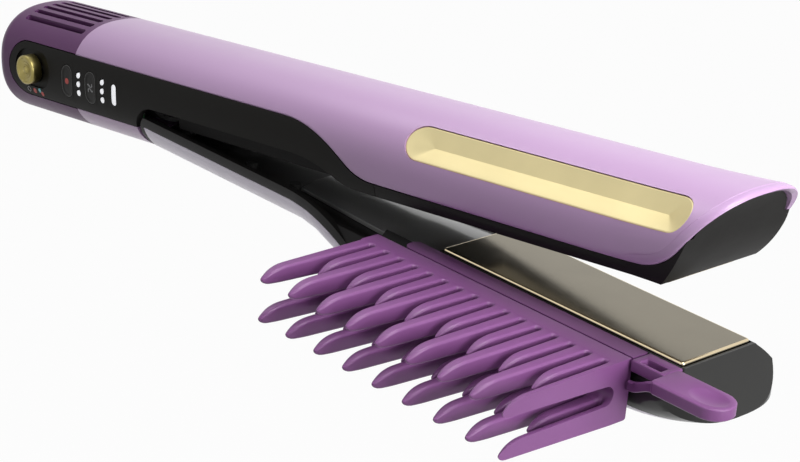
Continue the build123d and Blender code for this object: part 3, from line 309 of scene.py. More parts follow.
hoop = weave.node("GeometryNodeObjectInfo", {}, {"Object": hoop_socket}, out="Geometry")
rod_ends = {"Start": (FILTER_START * MM, 0, ROD_LIFT * MM), "End": (FILTER_END * MM, 0, ROD_LIFT * MM)}
rod = weave.node("GeometryNodeCurvePrimitiveLine", {}, rod_ends)
ring = weave.node("GeometryNodeCurvePrimitiveCircle", {}, {"Resolution": 5, "Radius": wire_r})
hoop_row = {"Count": hoop_count, "Start Location": (FILTER_START * MM, 0, 0), "Offset": (FILTER_PITCH * MM, 0, 0)}
hoop_places = weave.node("GeometryNodeMeshLine", {}, hoop_row)
rod_places = weave.node("GeometryNodeResampleCurve", {}, {"Curve": hoop, "Count": rod_count})
wires = []
for curve, places in ((hoop, hoop_places), (rod, rod_places)):
    wire = weave.node("GeometryNodeCurveToMesh", {}, {"Curve": curve, "Profile Curve": ring, "Fill Caps": True})
    wires.append(weave.node("GeometryNodeInstanceOnPoints", {}, {"Points": places, "Instance": wire}))
both = weave.node("GeometryNodeJoinGeometry", {}, {"Geometry": wires})
filter_wire = metal("filter_wire", rgb(150, 148, 146), 0.38, 0.2)
filter_mesh = weave.grow("intake_filter_weave", both, filter_wire)
bpy.data.objects.remove(hoop_guide)
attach(filter_mesh, "handle")
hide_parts("intake_filter")

# ---------- Upper casing and under cover
# The black casing of the upper arm closes the tip with a blunt bulging face and frames the upper
# plate; its sides step in behind the shell's rolled lip. The under cover runs from the hinge to
# it. Both are fine-textured black polycarbonate, clipped to the inner frame.
casing_black = moulded("casing_black", rgb(25, 24, 23), 0.46, 0.12, 0.5, Specular_IOR_Level=0.07)
cover_black = moulded("cover_black", rgb(10, 9, 9), 0.6, 0.15, 0.4, Specular_IOR_Level=0.08)


def shade(mesh, sharp):
    """Shade a mesh smooth, but for edges that turn by more than so many degrees."""
    for face in mesh.polygons:
        face.use_smooth = True
    mesh.set_sharp_from_angle(angle=radians(sharp))


def eased(node, body, finish, width, sharp=34):
    """A copy of a CAD node with its sharp edges rounded over, that stands for the node."""
    form = bmesh.new()
    form.from_mesh(nodes[node].data)
    bmesh.ops.remove_doubles(form, verts=form.verts, dist=2e-6)
    bmesh.ops.dissolve_limit(form, angle_limit=radians(0.6), verts=form.verts, edges=form.edges)
    form.verts.index_update()
    mesh = bpy.data.meshes.new(node + "_eased")
    mesh.from_pydata([v.co[:] for v in form.verts], [], [[v.index for v in f.verts] for f in form.faces])
    form.free()
    mesh.materials.append(finish.data)
    shade(mesh, sharp)
    piece = placed(node + "_eased", mesh)
    edge = piece.modifiers.new("eased_edges", "BEVEL")
    edge.width, edge.segments = width * MM, 2
    edge.limit_method, edge.angle_limit = "ANGLE", radians(sharp)
    edge.use_clamp_overlap = edge.harden_normals = True
    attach(piece, body)
    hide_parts(node)
    return piece


def share_of(value, start, full):
    """How far a value has come from start to full, from 0 to 1."""
    return max(0.0, min(1.0, (value - start) / (full - start)))


STEP_START, STEP_FULL, STEP_IN, WALL_IN, WALL_OUT = 270.0, 298.0, 1.15, 17.0, 20.0
casing = eased("upper_casing", "handle", casing_black, 0.35)
for vertex in casing.data.vertices:
    x, y = vertex.co.x / MM, vertex.co.y / MM
    inward = STEP_IN * share_of(x, STEP_START, STEP_FULL) * share_of(abs(y), WALL_IN, WALL_OUT)
    vertex.co.y -= (1 if y > 0 else -1) * inward * MM
finish_nodes(cover_black, "under_cover")

# ---------- Bottom shell
# The pale shell under the rear of the handle, ended by the arch round the hinge. Moulded in
# ABS and painted with the same pearl lavender as the top shell.
def pearl_paint(name, colour):
    """Satin pearl paint: fine flakes under a thin clear coat, a faint orange-peel on top."""
    finish = Finish(name, colour, 0.36, Coat_Weight=0.3, Coat_Roughness=0.24, Specular_IOR_Level=0.35)
    flakes = finish.noise(0.05, 1)
    deep = tuple(c * 0.93 for c in colour)
    light = tuple(min(1, c * 1.06 + 0.01) for c in colour)
    body_colour = finish.mix(finish.noise(40, 2, (0.5, 1, 1)), deep, light)
    finish.set("Base Color", finish.mix(flakes * 0.35, body_colour, light))
    finish.set("Roughness", 0.33 + (finish.noise(5, 2) - 0.5) * 0.07 + (flakes - 0.5) * 0.08)
    finish.bump(finish.noise(0.9, 2), 0.12, 0.01)
    return finish


pearl = pearl_paint("pearl_lavender", rgb(182, 147, 188))
eased("bottom_shell", "handle", pearl, 0.25)

# ---------- Side strips
# Satin black strips close the sides; the one at -Y carries the controls, and the other is
# blank. Three small printed marks under the switch show its positions.
strip_black = moulded("strip_black", rgb(23, 22, 20), 0.42, 0.1, 0.3, Specular_IOR_Level=0.06)
eased("control_panel", "handle", strip_black, 0.18)
finish_nodes(strip_black, "side_panel")


def join_rings(form, rings, around=False, scale=MM):
    """Lay rings of points, in millimetres, and join each to the next, or the last to the first too."""
    loops = [[form.verts.new(Vector(p) * scale) for p in ring] for ring in rings]
    for low, high in zip(loops, loops[1:] + loops[:1] * around):
        for k in range(len(low)):
            form.faces.new((low[k - 1], low[k], high[k], high[k - 1]))
    return loops


def ringed(rings, around=False):
    """A closed form over rings: with two flat ends, or joined all round."""
    form = bmesh.new()
    loops = join_rings(form, rings, around)
    if not around:
        form.faces.new(loops[0][::-1])
        form.faces.new(loops[-1])
    bmesh.ops.remove_doubles(form, verts=form.verts, dist=1e-7)
    bmesh.ops.dissolve_degenerate(form, edges=form.edges, dist=1e-7)
    bmesh.ops.recalc_face_normals(form, faces=form.faces)
    return form


def settle(name, form, finish, body, sharp=36):
    """Turn a worked form into a finished piece on its body, smooth but for its sharp edges."""
    mesh = bpy.data.meshes.new(name)
    form.to_mesh(mesh)
    form.free()
    shade(mesh, sharp)
    mesh.materials.append(finish.data)
    piece = placed(name, mesh)
    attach(piece, body)
    return piece


def skin(name, rings, finish, body, sharp=36, around=False):
    """A finished piece made straight from rings of points."""
    return settle(name, ringed(rings, around), finish, body, sharp)


def on_strip(line, out=0.0):
    """An outline in x and z, laid over the strip's surface or out from it by so much."""
    return [(x, -tube_at(x, z=z) - out, z) for x, z in line]


def printed(name, outer, inner, finish, body="handle", base=0.0):
    """Ink on the strip or on a key: a thin pad over the surface, between two outlines."""
    steps = ((outer, -0.08), (outer, 0.03), (inner, 0.03), (inner, -0.08))
    return skin(name, [on_strip(line, base + out) for line, out in steps], finish, body)


def round_line(x, z, r, count=24):
    return [(x + r * cos(2 * pi * k / count), z + r * sin(2 * pi * k / count)) for k in range(count)]


def ink(name, colour):
    """Screen-printed ink, slightly uneven in cover, with a soft gloss."""
    finish = Finish(name, colour, 0.4)
    cover = tuple(c * 0.8 for c in colour)
    finish.set("Base Color", finish.mix(finish.noise(0.3, 3), cover, colour))
    finish.set("Roughness", 0.36 + finish.noise(0.2) * 0.15)
    finish.bump(finish.noise(0.06), 0.3, 0.005)
    return finish


MARK_Z, MARK_R, RING_W, HEART_R = -7.2, 0.95, 0.22, 0.02
white_ink, red_ink = ink("white_ink", rgb(196, 196, 200)), ink("red_ink", rgb(196, 56, 44))
blue_ink, grey_ink = ink("blue_ink", rgb(128, 205, 212)), ink("grey_ink", rgb(132, 132, 134))
for name, x, z, r, inner_r, mark_ink in (
    ("mark_off_ring", 19.9, MARK_Z, MARK_R, MARK_R - RING_W, white_ink),
    ("mark_warm_dot", 23.4, MARK_Z, MARK_R, HEART_R, red_ink),
    ("mark_cool_dot", 26.5, MARK_Z + 0.6, 0.75, HEART_R, blue_ink),
    ("mark_both_dot", 27.75, MARK_Z - 0.45, 0.85, HEART_R, red_ink),
):
    printed(name, round_line(x, z, r), round_line(x, z, inner_r), mark_ink)

# ---------- Top shell
# One long pale shell from the cap to the open tip, with a rolled lip round the tip and the S
# bend on its lower edge. It is pierced for the two trough panels and painted pearl lavender.
SHELL_START, SHELL_EDGE, SHELL_LOW, SHELL_WALL = 47.32, 9.4, -3.4, 2.0
BEND_START, BEND_R1, BEND_R2 = 157.0, 52.0, 22.0
FRONT, RIM_START, RIM_R, RIM_SLOPE = 286.0, 301.0, 22.0, radians(52)
LIP_W, LIP_DROP, EDGE_W, EDGE_DROP = 2.8, 1.1, 0.8, 0.5
LIP_SINK, LIP_START, LIP_FULL = 0.1, 284, 301
ROUND_LEN = 66       # length of the section's line from one lower edge over the top to the other
RIM_GUESS, RIM_ROUNDS, NEIGHBOURS, HALVINGS = 310.0, 40, 12, 13   # for the rows that follow the rim
bend_turn = acos(1 - (SHELL_EDGE - SHELL_LOW) / (BEND_R1 + BEND_R2))
bend_mid = BEND_START + BEND_R1 * sin(bend_turn)
bend_end = BEND_START + (BEND_R1 + BEND_R2) * sin(bend_turn)
rim_end = (RIM_START + RIM_R * sin(RIM_SLOPE), SHELL_LOW + RIM_R * (1 - cos(RIM_SLOPE)))


def shell_edge(x):
    """Height of the shell's lower edge."""
    if x <= BEND_START:
        return SHELL_EDGE
    if x <= bend_mid:
        return SHELL_EDGE - BEND_R1 + sqrt(BEND_R1**2 - (x - BEND_START) ** 2)
    if x <= bend_end:
        return SHELL_LOW + BEND_R2 - sqrt(BEND_R2**2 - (bend_end - x) ** 2)
    return SHELL_LOW


def rim_x(z):
    """How far forward the shell reaches at a height, round the open tip."""
    if z <= SHELL_LOW:
        return RIM_START
    if z <= rim_end[1]:
        return RIM_START + sqrt(RIM_R**2 - (RIM_R - (z - SHELL_LOW)) ** 2)
    return rim_end[0] + (z - rim_end[1]) / tan(RIM_SLOPE)


def shell_point(x, angle, inset=0.0, drop=0.0):
    """A point of the tube's section at x: angle 0 is the -Y side and a quarter turn the top."""
    wide, high = tube_size(x, inset)
    c, s = cos(angle), sin(angle)
    y = -wide * abs(c) ** (2 / TUBE_POWER) * (1 if c > 0 else -1)
    z = high * abs(s) ** (2 / TUBE_POWER) * (1 if s > 0 else -1)
    out_y = y / abs(y) * (abs(y) / wide) ** (TUBE_POWER - 1) / wide if y else 0
    out_z = (z > 0) * (abs(z) / high) ** (TUBE_POWER - 1) / high
    return Vector((x, y, z)) - Vector((0, out_y, out_z)).normalized() * drop


def roll(distance, width, drop):
    """How far a rolled edge has dropped at a distance from it."""
    return drop * (1 - sqrt(1 - (1 - distance / width) ** 2)) if distance < width else 0.0


NEAR = (0.0, 0.12, 0.3, 0.55, 0.8, 1.2, 1.7, 2.3)
across = [d / ROUND_LEN for d in NEAR] + [0.045 + 0.91 * k / 48 for k in range(49)]
across += [1 - d / ROUND_LEN for d in reversed(NEAR)]
along = [SHELL_START + 10 * k for k in range(11)] + [BEND_START - 3 + 2 * k for k in range(23)]
along += [204 + 8 * k for k in range(11)]
to_rim = (12.5, 9.5, 7.2, 5.4, 4.0, 3.1, 2.85, 2.75, 2.4, 1.9, 1.4, 0.95, 0.6, 0.32, 0.14, 0.04, 0.0)


def gap_to(point, line):
    """Distance from a point to a line of points."""
    best = 1e9
    for a, b in zip(line, line[1:]):
        spot, share = geometry.intersect_point_line(point, a, b)
        best = min(best, (point - (a if share < 0 else b if share > 1 else spot)).length)
    return best


def section_angles(x, z, inset):
    """Where a row has its points round the section at x, from the height of one edge to the other."""
    low = (1 if z > 0 else -1) * asin((abs(z) / tube_size(x, inset)[1]) ** (TUBE_POWER / 2))
    return [low + (pi - 2 * low) * s for s in across]


def shell_row(places, angles, inset, gap=None):
    """A row of points, dropped where an edge is rolled over; gap is the row's distance from the rim."""
    row = []
    for x, angle, s in zip(places, angles, across):
        turn_in = share_of(x, LIP_START, LIP_FULL) ** 2
        width, drop = EDGE_W + (LIP_W - EDGE_W) * turn_in, EDGE_DROP + (LIP_DROP - EDGE_DROP) * turn_in
        side = roll(ROUND_LEN * min(s, 1 - s), width, drop)
        lip = 0 if gap is None else roll(gap, LIP_W, LIP_DROP) + (LIP_SINK if gap < LIP_W else 0)
        row.append(shell_point(x, angle, inset, 0 if inset else max(lip, side)))
    return row


def shell_rows(inset):
    """All rows from the cap to the tip; the last ones keep set distances from the rim."""
    rows = [shell_row([x] * len(across), section_angles(x, shell_edge(x), inset), inset) for x in along]
    angles = section_angles(FRONT, SHELL_LOW, inset)
    reach = []
    for a in angles:
        x = RIM_GUESS
        for _ in range(RIM_ROUNDS):
            x = rim_x(shell_point(x, a, inset).z)
        reach.append(x)
    rim = [shell_point(x, a, inset) for x, a in zip(reach, angles)]
    starts = []
    for d in to_rim:
        row = []
        for j, (a, x1) in enumerate(zip(angles, reach)):
            low_x, high_x, near = FRONT, x1, rim[max(0, j - NEIGHBOURS): j + NEIGHBOURS + 1]
            for _ in range(HALVINGS if d else 0):
                mid_x = (low_x + high_x) / 2
                if gap_to(shell_point(mid_x, a, inset), near) > d:
                    low_x = mid_x
                else:
                    high_x = mid_x
            row.append((low_x + high_x) / 2 if d else x1)
        starts.append(row)
    spans = [(None, [FRONT + (x - FRONT) * k / 4 for x in starts[0]]) for k in range(4)]
    return rows + [shell_row(places, angles, inset, gap) for gap, places in spans + list(zip(to_rim, starts))]


form = bmesh.new()
outside, inside = ([[form.verts.new(p * MM) for p in row] for row in shell_rows(w)] for w in (0.0, SHELL_WALL))
for i in range(len(outside) - 1):
    for j in range(len(across) - 1):
        for rows in (outside, inside):
            form.faces.new((rows[i][j], rows[i][j + 1], rows[i + 1][j + 1], rows[i + 1][j]))
edge_pairs = [(a[0], b[0]) for a, b in zip(outside, inside)]
edge_pairs += zip(outside[-1][1:], inside[-1][1:])
edge_pairs += [(a[-1], b[-1]) for a, b in zip(outside[-2::-1], inside[-2::-1])]
edge_pairs += zip(outside[0][-2:0:-1], inside[0][-2:0:-1])
for (a, b), (c, d) in zip(edge_pairs, edge_pairs[1:] + edge_pairs[:1]):
    form.faces.new((a, b, d, c))
bmesh.ops.remove_doubles(form, verts=form.verts, dist=1e-7)
bmesh.ops.recalc_face_normals(form, faces=form.faces)
top_shell = settle("top_shell_painted", form, pearl, "handle")

PANEL_MID = Vector((264.55, -16.5, 11.6))
PANEL_HALF, PANEL_R = 53.9, 5.75
panel_turn = radians(51.3)
panel_out = Vector((0, -sin(panel_turn), cos(panel_turn)))
panel_up = Vector((0, cos(panel_turn), sin(panel_turn)))


def stadium(half, r, count=14, straight=24):
    """A round-ended outline: half its length, and the radius of its ends."""
    run = half - r
    line = []
    for end in (1, -1):
        line += [(end * (run + r * cos(pi / 2 - pi * k / count)), end * r * sin(pi / 2 - pi * k / count))
                 for k in range(count)]
        line += [(end * (run - 2 * run * k / straight), -end * r) for k in range(straight)]
    return line


CUT_IN, CUT_OUT = 3.0, 6.0
for way in (1, -1):
    rings = []
    for depth in (-CUT_IN, CUT_OUT):
        spots = [PANEL_MID + Vector((u, 0, 0)) + panel_up * w + panel_out * depth
                 for u, w in stadium(PANEL_HALF, PANEL_R)]
        rings.append([(p.x, p.y * way, p.z) for p in spots])
    cutter_mesh = bpy.data.meshes.new("panel_cutter")
    ringed(rings).to_mesh(cutter_mesh)
    cutter = placed("panel_cutter", cutter_mesh)
    cut = top_shell.modifiers.new("opening", "BOOLEAN")
    cut.operation, cut.solver, cut.object = "DIFFERENCE", "EXACT", cutter
    top_shell.data = worked_out(top_shell)
    bpy.data.objects.remove(cutter)
shade(top_shell.data, 32)
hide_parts("top_shell")

# ---------- Trough panels
# Pressed aluminium panels, anodised pale gold, glued into the openings on both shoulders. Each
# has a long V groove whose ends fan out as a shallow half cone.
PANEL_SINK, PANEL_LIP, VALLEY_DEPTH, VALLEY_RUN, PANEL_BACK, PANEL_GAP = 0.3, 0.55, 1.7, 9.5, 2.9, 0.12
gold = metal("anodised_gold", rgb(208, 195, 150), 0.46, 0.1, (0.03, 1, 1), 0.12)


def panel_point(u, w, back=None):
    """A point over the panel's plane: sunk a little under the shell's surface, or at a set depth."""
    base = PANEL_MID + Vector((u, 0, 0)) + panel_up * w
    if back is not None:
        return base - panel_out * back
    low, high = -3.0, 3.0
    for _ in range(28):
        mid = (low + high) / 2
        p = base + panel_out * mid
        low, high = (mid, high) if p.z < tube_at(p.x, y=p.y, inset=PANEL_SINK) else (low, mid)
    return base + panel_out * low


def panel_form(mirror):
    """The sheet from its back over the rounded lip and down both flanks to the valley's floor."""
    half, r = PANEL_HALF - PANEL_GAP, PANEL_R - PANEL_GAP
    rings = [[panel_point(u, w, PANEL_BACK) for u, w in stadium(half, r)]]
    steps = ((0.0, 0.55), (0.0, 0.16), (0.07, 0.04), (0.18, 0.0), (PANEL_LIP - 0.12, 0.0), (PANEL_LIP, 0.06))
    for inset, drop in steps:
        rings.append([panel_point(u, w) - panel_out * drop for u, w in stadium(half - inset, r - inset)])
    start, end = rings[-1], PANEL_HALF - VALLEY_RUN
    inner = stadium(half - PANEL_LIP, r - PANEL_LIP)
    floor = [panel_point(max(-end, min(end, u)), 0, VALLEY_DEPTH) for u, w in inner]
    for share in (0.33, 0.66, 0.94, 1.0):
        rings.append([a.lerp(b, share) for a, b in zip(start, floor)])
    if mirror:
        rings = [[Vector((p.x, -p.y, p.z)) for p in ring] for ring in rings]
    form = bmesh.new()
    form.faces.new(join_rings(form, rings)[0][::-1])
    bmesh.ops.remove_doubles(form, verts=form.verts, dist=2e-6)
    bmesh.ops.dissolve_degenerate(form, edges=form.edges, dist=1e-6)
    bmesh.ops.holes_fill(form, edges=[e for e in form.edges if e.is_boundary])
    bmesh.ops.recalc_face_normals(form, faces=form.faces)
    return form


for side in ("left", "right"):
    panel = settle("trough_panel_" + side, panel_form(side == "right"), gold, "handle", sharp=28)
    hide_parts("gold_panel_" + side)

# ---------- Mode switch
# A knob turned from brass on a slider: a shallow dish with fine turning rings, a small centre
# point and a rounded rim. It slides along a round-ended track to three positions.
KNOB_X, KNOB_Z, KNOB_R, KNOB_FACE, KNOB_BACK, KNOB_ROUND = 23.5, 0.8, 5.1, -24.4, -20.2, 0.75
RING_PITCH = 0.16
turned_brass = Finish("turned_brass", rgb(176, 164, 104), 0.26, Metallic=1.0)
knob_place = turned_brass.place((KNOB_X * MM, KNOB_FACE * MM, KNOB_Z * MM), (1, 0, 1))
knob_radius = turned_brass.node("ShaderNodeVectorMath", {"operation": "LENGTH"}, {0: knob_place}, out="Value")
ring_turns = knob_radius * (2 * pi / (RING_PITCH * MM))
rings_height = turned_brass.node("ShaderNodeMath", {"operation": "SINE"}, {0: ring_turns})
brass_cloud = turned_brass.mix(turned_brass.noise(2.5, 3), rgb(122, 112, 66), rgb(158, 146, 92))
turned_brass.set("Base Color", brass_cloud)
turned_brass.set("Roughness", 0.33 + (turned_brass.noise(0.6) - 0.5) * 0.1)
turned_brass.bump(rings_height + turned_brass.noise(0.1) * 0.6, 0.2, 0.004)


def turned(profile, x, z, count=64):
    """Rings of a shape turned about a line along Y, from (radius, y) pairs."""
    return [
        [(x + r * cos(2 * pi * k / count), y, z + r * sin(2 * pi * k / count)) for k in range(count)]
        for r, y in profile
    ]


profile = [(KNOB_R - 0.3, KNOB_BACK), (KNOB_R, KNOB_BACK - 0.3), (KNOB_R, KNOB_FACE + KNOB_ROUND)]
for k in range(1, 7):
    a = pi / 2 * k / 6
    profile.append((KNOB_R - KNOB_ROUND + KNOB_ROUND * cos(a), KNOB_FACE + KNOB_ROUND - KNOB_ROUND * sin(a)))
profile += [(4.1, KNOB_FACE + 0.02), (3.95, KNOB_FACE + 0.3)]
for r0, y0, r1, y1 in ((3.85, 0.34, 2.9, 0.62), (2.8, 0.5, 2.0, 0.72), (1.9, 0.6, 1.45, 0.8)):
    middle = ((r0 + r1) / 2, KNOB_FACE + (y0 + y1) / 2 + 0.06)
    profile += [(r0, KNOB_FACE + y0), middle, (r1, KNOB_FACE + y1)]
profile += [(r, KNOB_FACE + y) for r, y in ((1.4, 0.8), (1.15, 0.45), (0.8, 0.2), (0.4, 0.1), (0.05, 0.08))]
knob = skin("mode_knob_turned", turned(profile, KNOB_X, KNOB_Z), turned_brass, "knob", 50)
slider = turned([(1.3, -19.65), (1.5, -19.85), (1.5, -18.1), (1.3, -18.0)], KNOB_X, KNOB_Z, 32)
skin("mode_knob_slider", slider, turned_brass, "knob")
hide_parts("mode_knob")

# ---------- Push buttons
# Two upright round-ended keys of satin black plastic, almost flush with the strip. A thin moulded
# line runs round each, inked paler grey as a painted highlight; one has a red spot for heat, the other a grey
# four-bladed fan.
BUTTON_Z, HEAT_X, FAN_X, BUTTON_W, BUTTON_H = 0.0, 44.1, 57.6, 6.1, 11.2
HOLE_Z, KEY_HOLE, KEY_GAP, KEY_DISH, SPOT_R = 0.3, (7.15, 3.65), 0.12, -0.12, 1.05
key_black = moulded("key_black", rgb(25, 24, 22), 0.36, 0.12, 0.3, Specular_IOR_Level=0.12)
# Paler grey for the moulded line round each key: a painted highlight.
line_grey = ink("line_grey", rgb(62, 62, 60))


def upright(x, half, r, z=BUTTON_Z, count=12, straight=8):
    """A round-ended upright outline: half its height, and the radius of its ends."""
    return [(x + w, z + u) for u, w in stadium(half, r, count, straight)]


def band(name, outer, inner, outs, finish, body):
    """A closed ring over the strip's surface between two outlines."""
    rings = [on_strip(line, out) for line, out in zip((outer, outer, inner, inner), outs)]
    skin(name, rings, finish, body, around=True)


def surround(name, x, hole, inner):
    """A flush ring of the strip's own plastic that closes its opening up to a key or a light."""
    outs = (-0.3, 0.02, 0.02, -0.9)
    band(name, upright(x, *hole, HOLE_Z), upright(x, *inner), outs, strip_black, "handle")


def key(name, node, x, body):
    """A key with its stem, the ring round it and the thin line near its edge, paler grey as a painted highlight."""
    half, r = BUTTON_H / 2, BUTTON_W / 2
    steps = [(0, -1.8), (0, -0.35), (0.06, -0.14), (0.2, -0.03), (0.4, 0.0), (0.85, 0.0), (0.95, -0.1)]
    steps += [(1.2, -0.14), (2.0, KEY_DISH), (2.7, KEY_DISH)]
    rings = [on_strip(upright(x, half - d, r - d), out) for d, out in steps]
    piece = skin(name, rings, key_black, body, 30)
    stem = turned([(1.5, -19.6), (1.5, -17.3), (1.3, -17.25)], x, BUTTON_Z, 24)
    skin(name + "_stem", stem, key_black, body)
    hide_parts(node)
    surround(name + "_surround", x, KEY_HOLE, (half + KEY_GAP, r + KEY_GAP))
    outer, inner = (upright(x, half - d, r - d, count=14, straight=24) for d in (0.1, 0.28))
    band(name + "_line", outer, inner, (-0.1, 0.02, 0.02, -0.1), line_grey, body)


key("heat_key_cap", "heat_button", HEAT_X, "heat_key")
key("fan_key_cap", "fan_button", FAN_X, "fan_key")
spot, spot_heart = (round_line(HEAT_X, BUTTON_Z, r) for r in (SPOT_R, HEART_R))
printed("heat_spot", spot, spot_heart, red_ink, "heat_key", KEY_DISH)
BLADE = ((0.25, -0.5), (0.9, -0.32), (1.5, -0.02), (1.95, 0.42),
         (1.75, 0.62), (1.15, 0.38), (0.6, 0.42), (0.25, 0.6))
for k in range(4):
    turn = pi / 2 * k + 0.5
    outline = [(FAN_X + r * cos(turn + a), BUTTON_Z + r * sin(turn + a)) for r, a in BLADE]
    mid_x, mid_z = (sum(p[n] for p in outline) / len(outline) for n in (0, 1))
    heart = [(mid_x + (x - mid_x) * 0.05, mid_z + (z - mid_z) * 0.05) for x, z in outline]
    printed(f"fan_mark_{k + 1}", outline, heart, grey_ink, "fan_key", KEY_DISH)

# ---------- Indicator lenses
# Seven clear light pipes behind the strip: three round dots beside each key and one upright bar.
# Their diffusing faces are frosted, and they are drawn lit, as in the photograph.
DOTS_X, DOT_R, DOT_PITCH = (50.8, 64.4), 1.0, 3.0
BAR_X, BAR_W, BAR_H, BAR_HOLE, BAR_GAP = 71.1, 2.5, 7.2, (4.6, 1.7), 0.05
frosted = Finish("frosted_lens", rgb(236, 236, 238), 0.35, Emission_Strength=0.55)
glow = frosted.mix(frosted.noise(0.8), rgb(235, 238, 245), rgb(255, 255, 255))
frosted.set("Base Color", glow)
frosted.set("Emission Color", glow)
frosted.set("Roughness", 0.3 + frosted.noise(0.2) * 0.2)
frosted.bump(frosted.noise(0.1), 0.2, 0.01)
for k, (x, row) in enumerate((x, row) for x in DOTS_X for row in (-1, 0, 1)):
    steps = ((DOT_R, -2.3), (DOT_R, -0.12), (DOT_R - 0.06, -0.04), (DOT_R - 0.2, 0.0), (0.5, 0.0))
    rings = [on_strip(round_line(x, BUTTON_Z + row * DOT_PITCH, r), out) for r, out in steps]
    skin(f"light_dot_{k + 1}", rings, frosted, "handle")
steps = ((0, -2.3), (0, -0.12), (0.06, -0.04), (0.2, 0.0), (1.1, 0.0))
rings = [on_strip(upright(BAR_X, BAR_H / 2 - d, BAR_W / 2 - d), out) for d, out in steps]
bar = skin("light_bar", rings, frosted, "handle")
surround("light_bar_surround", BAR_X, BAR_HOLE, (BAR_H / 2 + BAR_GAP, BAR_W / 2 + BAR_GAP))
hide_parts("indicator_lenses")

# ---------- Rear cap
# A dark purple cover over the air inlet with eight long slots, drawn off backwards to clean the
# filter. Moulded in satin ABS, polished a little by handling.
cap_purple = moulded("cap_purple", rgb(94, 52, 97), 0.4, 0.1, 0.3, Specular_IOR_Level=0.22)
eased("rear_cap", "cap", cap_purple, 0.3, 40)

# ---------- Lower arm casing and buffers
# The lower arm's black casing is a trough from the hinge forward, then a raised middle round the
# plate. Four small rubber studs on its deck meet the handle when the arms close.
arm_black = moulded("arm_black", rgb(18, 17, 17), 0.42, 0.14, 0.4, Specular_IOR_Level=0.12)
# Toward the nose the black turns a little paler and takes more coat; the paler colour is a painted reflection on
# the glossy nose.
NOSE_START, NOSE_FULL = 0.296, 0.312
forward = arm_black.node("ShaderNodeSeparateXYZ", {}, {0: arm_black.place()})
nose_sheen = arm_black.node(
    "ShaderNodeMapRange", {"interpolation_type": "SMOOTHSTEP"},
    {"Value": forward, "From Min": NOSE_START, "From Max": NOSE_FULL},
)
# The paler black at the nose is a painted reflection.
arm_black.set("Base Color", arm_black.mix(nose_sheen, rgb(18, 17, 17), rgb(26, 26, 25)))
arm_black.set("Coat Weight", nose_sheen * 0.55)
eased("lower_casing", "arm", arm_black, 0.3)
stud_rubber = moulded("stud_rubber", rgb(20, 20, 20), 0.75, 0.2, 0.6, Specular_IOR_Level=0.25)
finish_nodes(stud_rubber, "closing_buffers")

# ---------- Lower shell
# A pale skin along the bottom of the arm, moulded in ABS and fixed under the black casing. It
# is painted in a lighter pearl than the handle.
pale_pearl = pearl_paint("pale_pearl", rgb(228, 218, 236))
eased("lower_shell", "arm", pale_pearl, 0.25)

# ---------- Fairing
# A half cone of glossy black plastic behind the lower plate, that leads from the deck up to
# it. It is a moulding of its own, set on the casing.
# The base colour is mid grey, not black: a painted reflection standing for the soft sheen along the glossy cone.
gloss_black = moulded("gloss_black", rgb(128, 128, 127), 0.3, 0.3, 0.08, Coat_Weight=0.6, Coat_Roughness=0.1)
eased("lower_fairing", "arm", gloss_black, 0.3)

# ---------- Plates
# Aluminium sheets with turned-down edges and a bronze ceramic coating; the rounded edges are given a
# paler champagne metal as a painted highlight. Heater, sensor, cushions and carrier lie behind each.
PLATE_START, PLATE_HALF, PLATE_TOP, PLATE_SKIRT, PLATE_T = 222.5, 14.15, -4.25, 3.2, 1.5
LOWER_END, UPPER_END, PLATE_R, CUP_INSET, CUP_R = 315.2, 308.2, 1.1, 1.2, 0.4
HINGE = Vector((92.0, 0, -12.0))
OPEN_ANGLE, CLOSED_ANGLE, FLIP_Z = 6.5, 1.3, -8.2


def swing(angle):
    """Turns an outline drawn for the parallel arm down about the hinge, in millimetres."""
    turn = Matrix.Rotation(radians(angle), 4, "Y")
    return Matrix.Translation(HINGE) @ turn @ Matrix.Translation(-HINGE)


bronze = metal("bronze_ceramic", rgb(137, 130, 114), 0.15, 0.15, (0.04, 1, 1), 0.1)
edge_highlight_metal = metal("champagne_edge", rgb(232, 214, 178), 0.2, 0.1, (0.05, 1, 1), 0.08)


def corners(x0, x1, mid_y, half, radii, grow=0.0, count=6):
    """A rectangle seen from above, with its own corner radius at each end."""
    line = []
    x0, x1, half = x0 - grow, x1 + grow, half + grow
    for tip, a0, way in ((1, 0, 1), (0, 90, 1), (0, 180, -1), (1, 270, -1)):
        r = max(0.15, radii[tip] + grow)
        cx = x1 - r if tip else x0 + r
        for k in range(count + 1):
            a = radians(a0 + 90 * k / count)
            line.append((cx + r * cos(a), mid_y + way * (half - r) + r * sin(a)))
    return line


def plate_ring(x1, inset, drop, r):
    """One outline of a plate, inside its edge by so much and below its face by so much."""
    line = corners(PLATE_START + inset, x1 - inset, 0, PLATE_HALF - inset, (r, r))
    return [(x, y, PLATE_TOP + drop) for x, y in line]


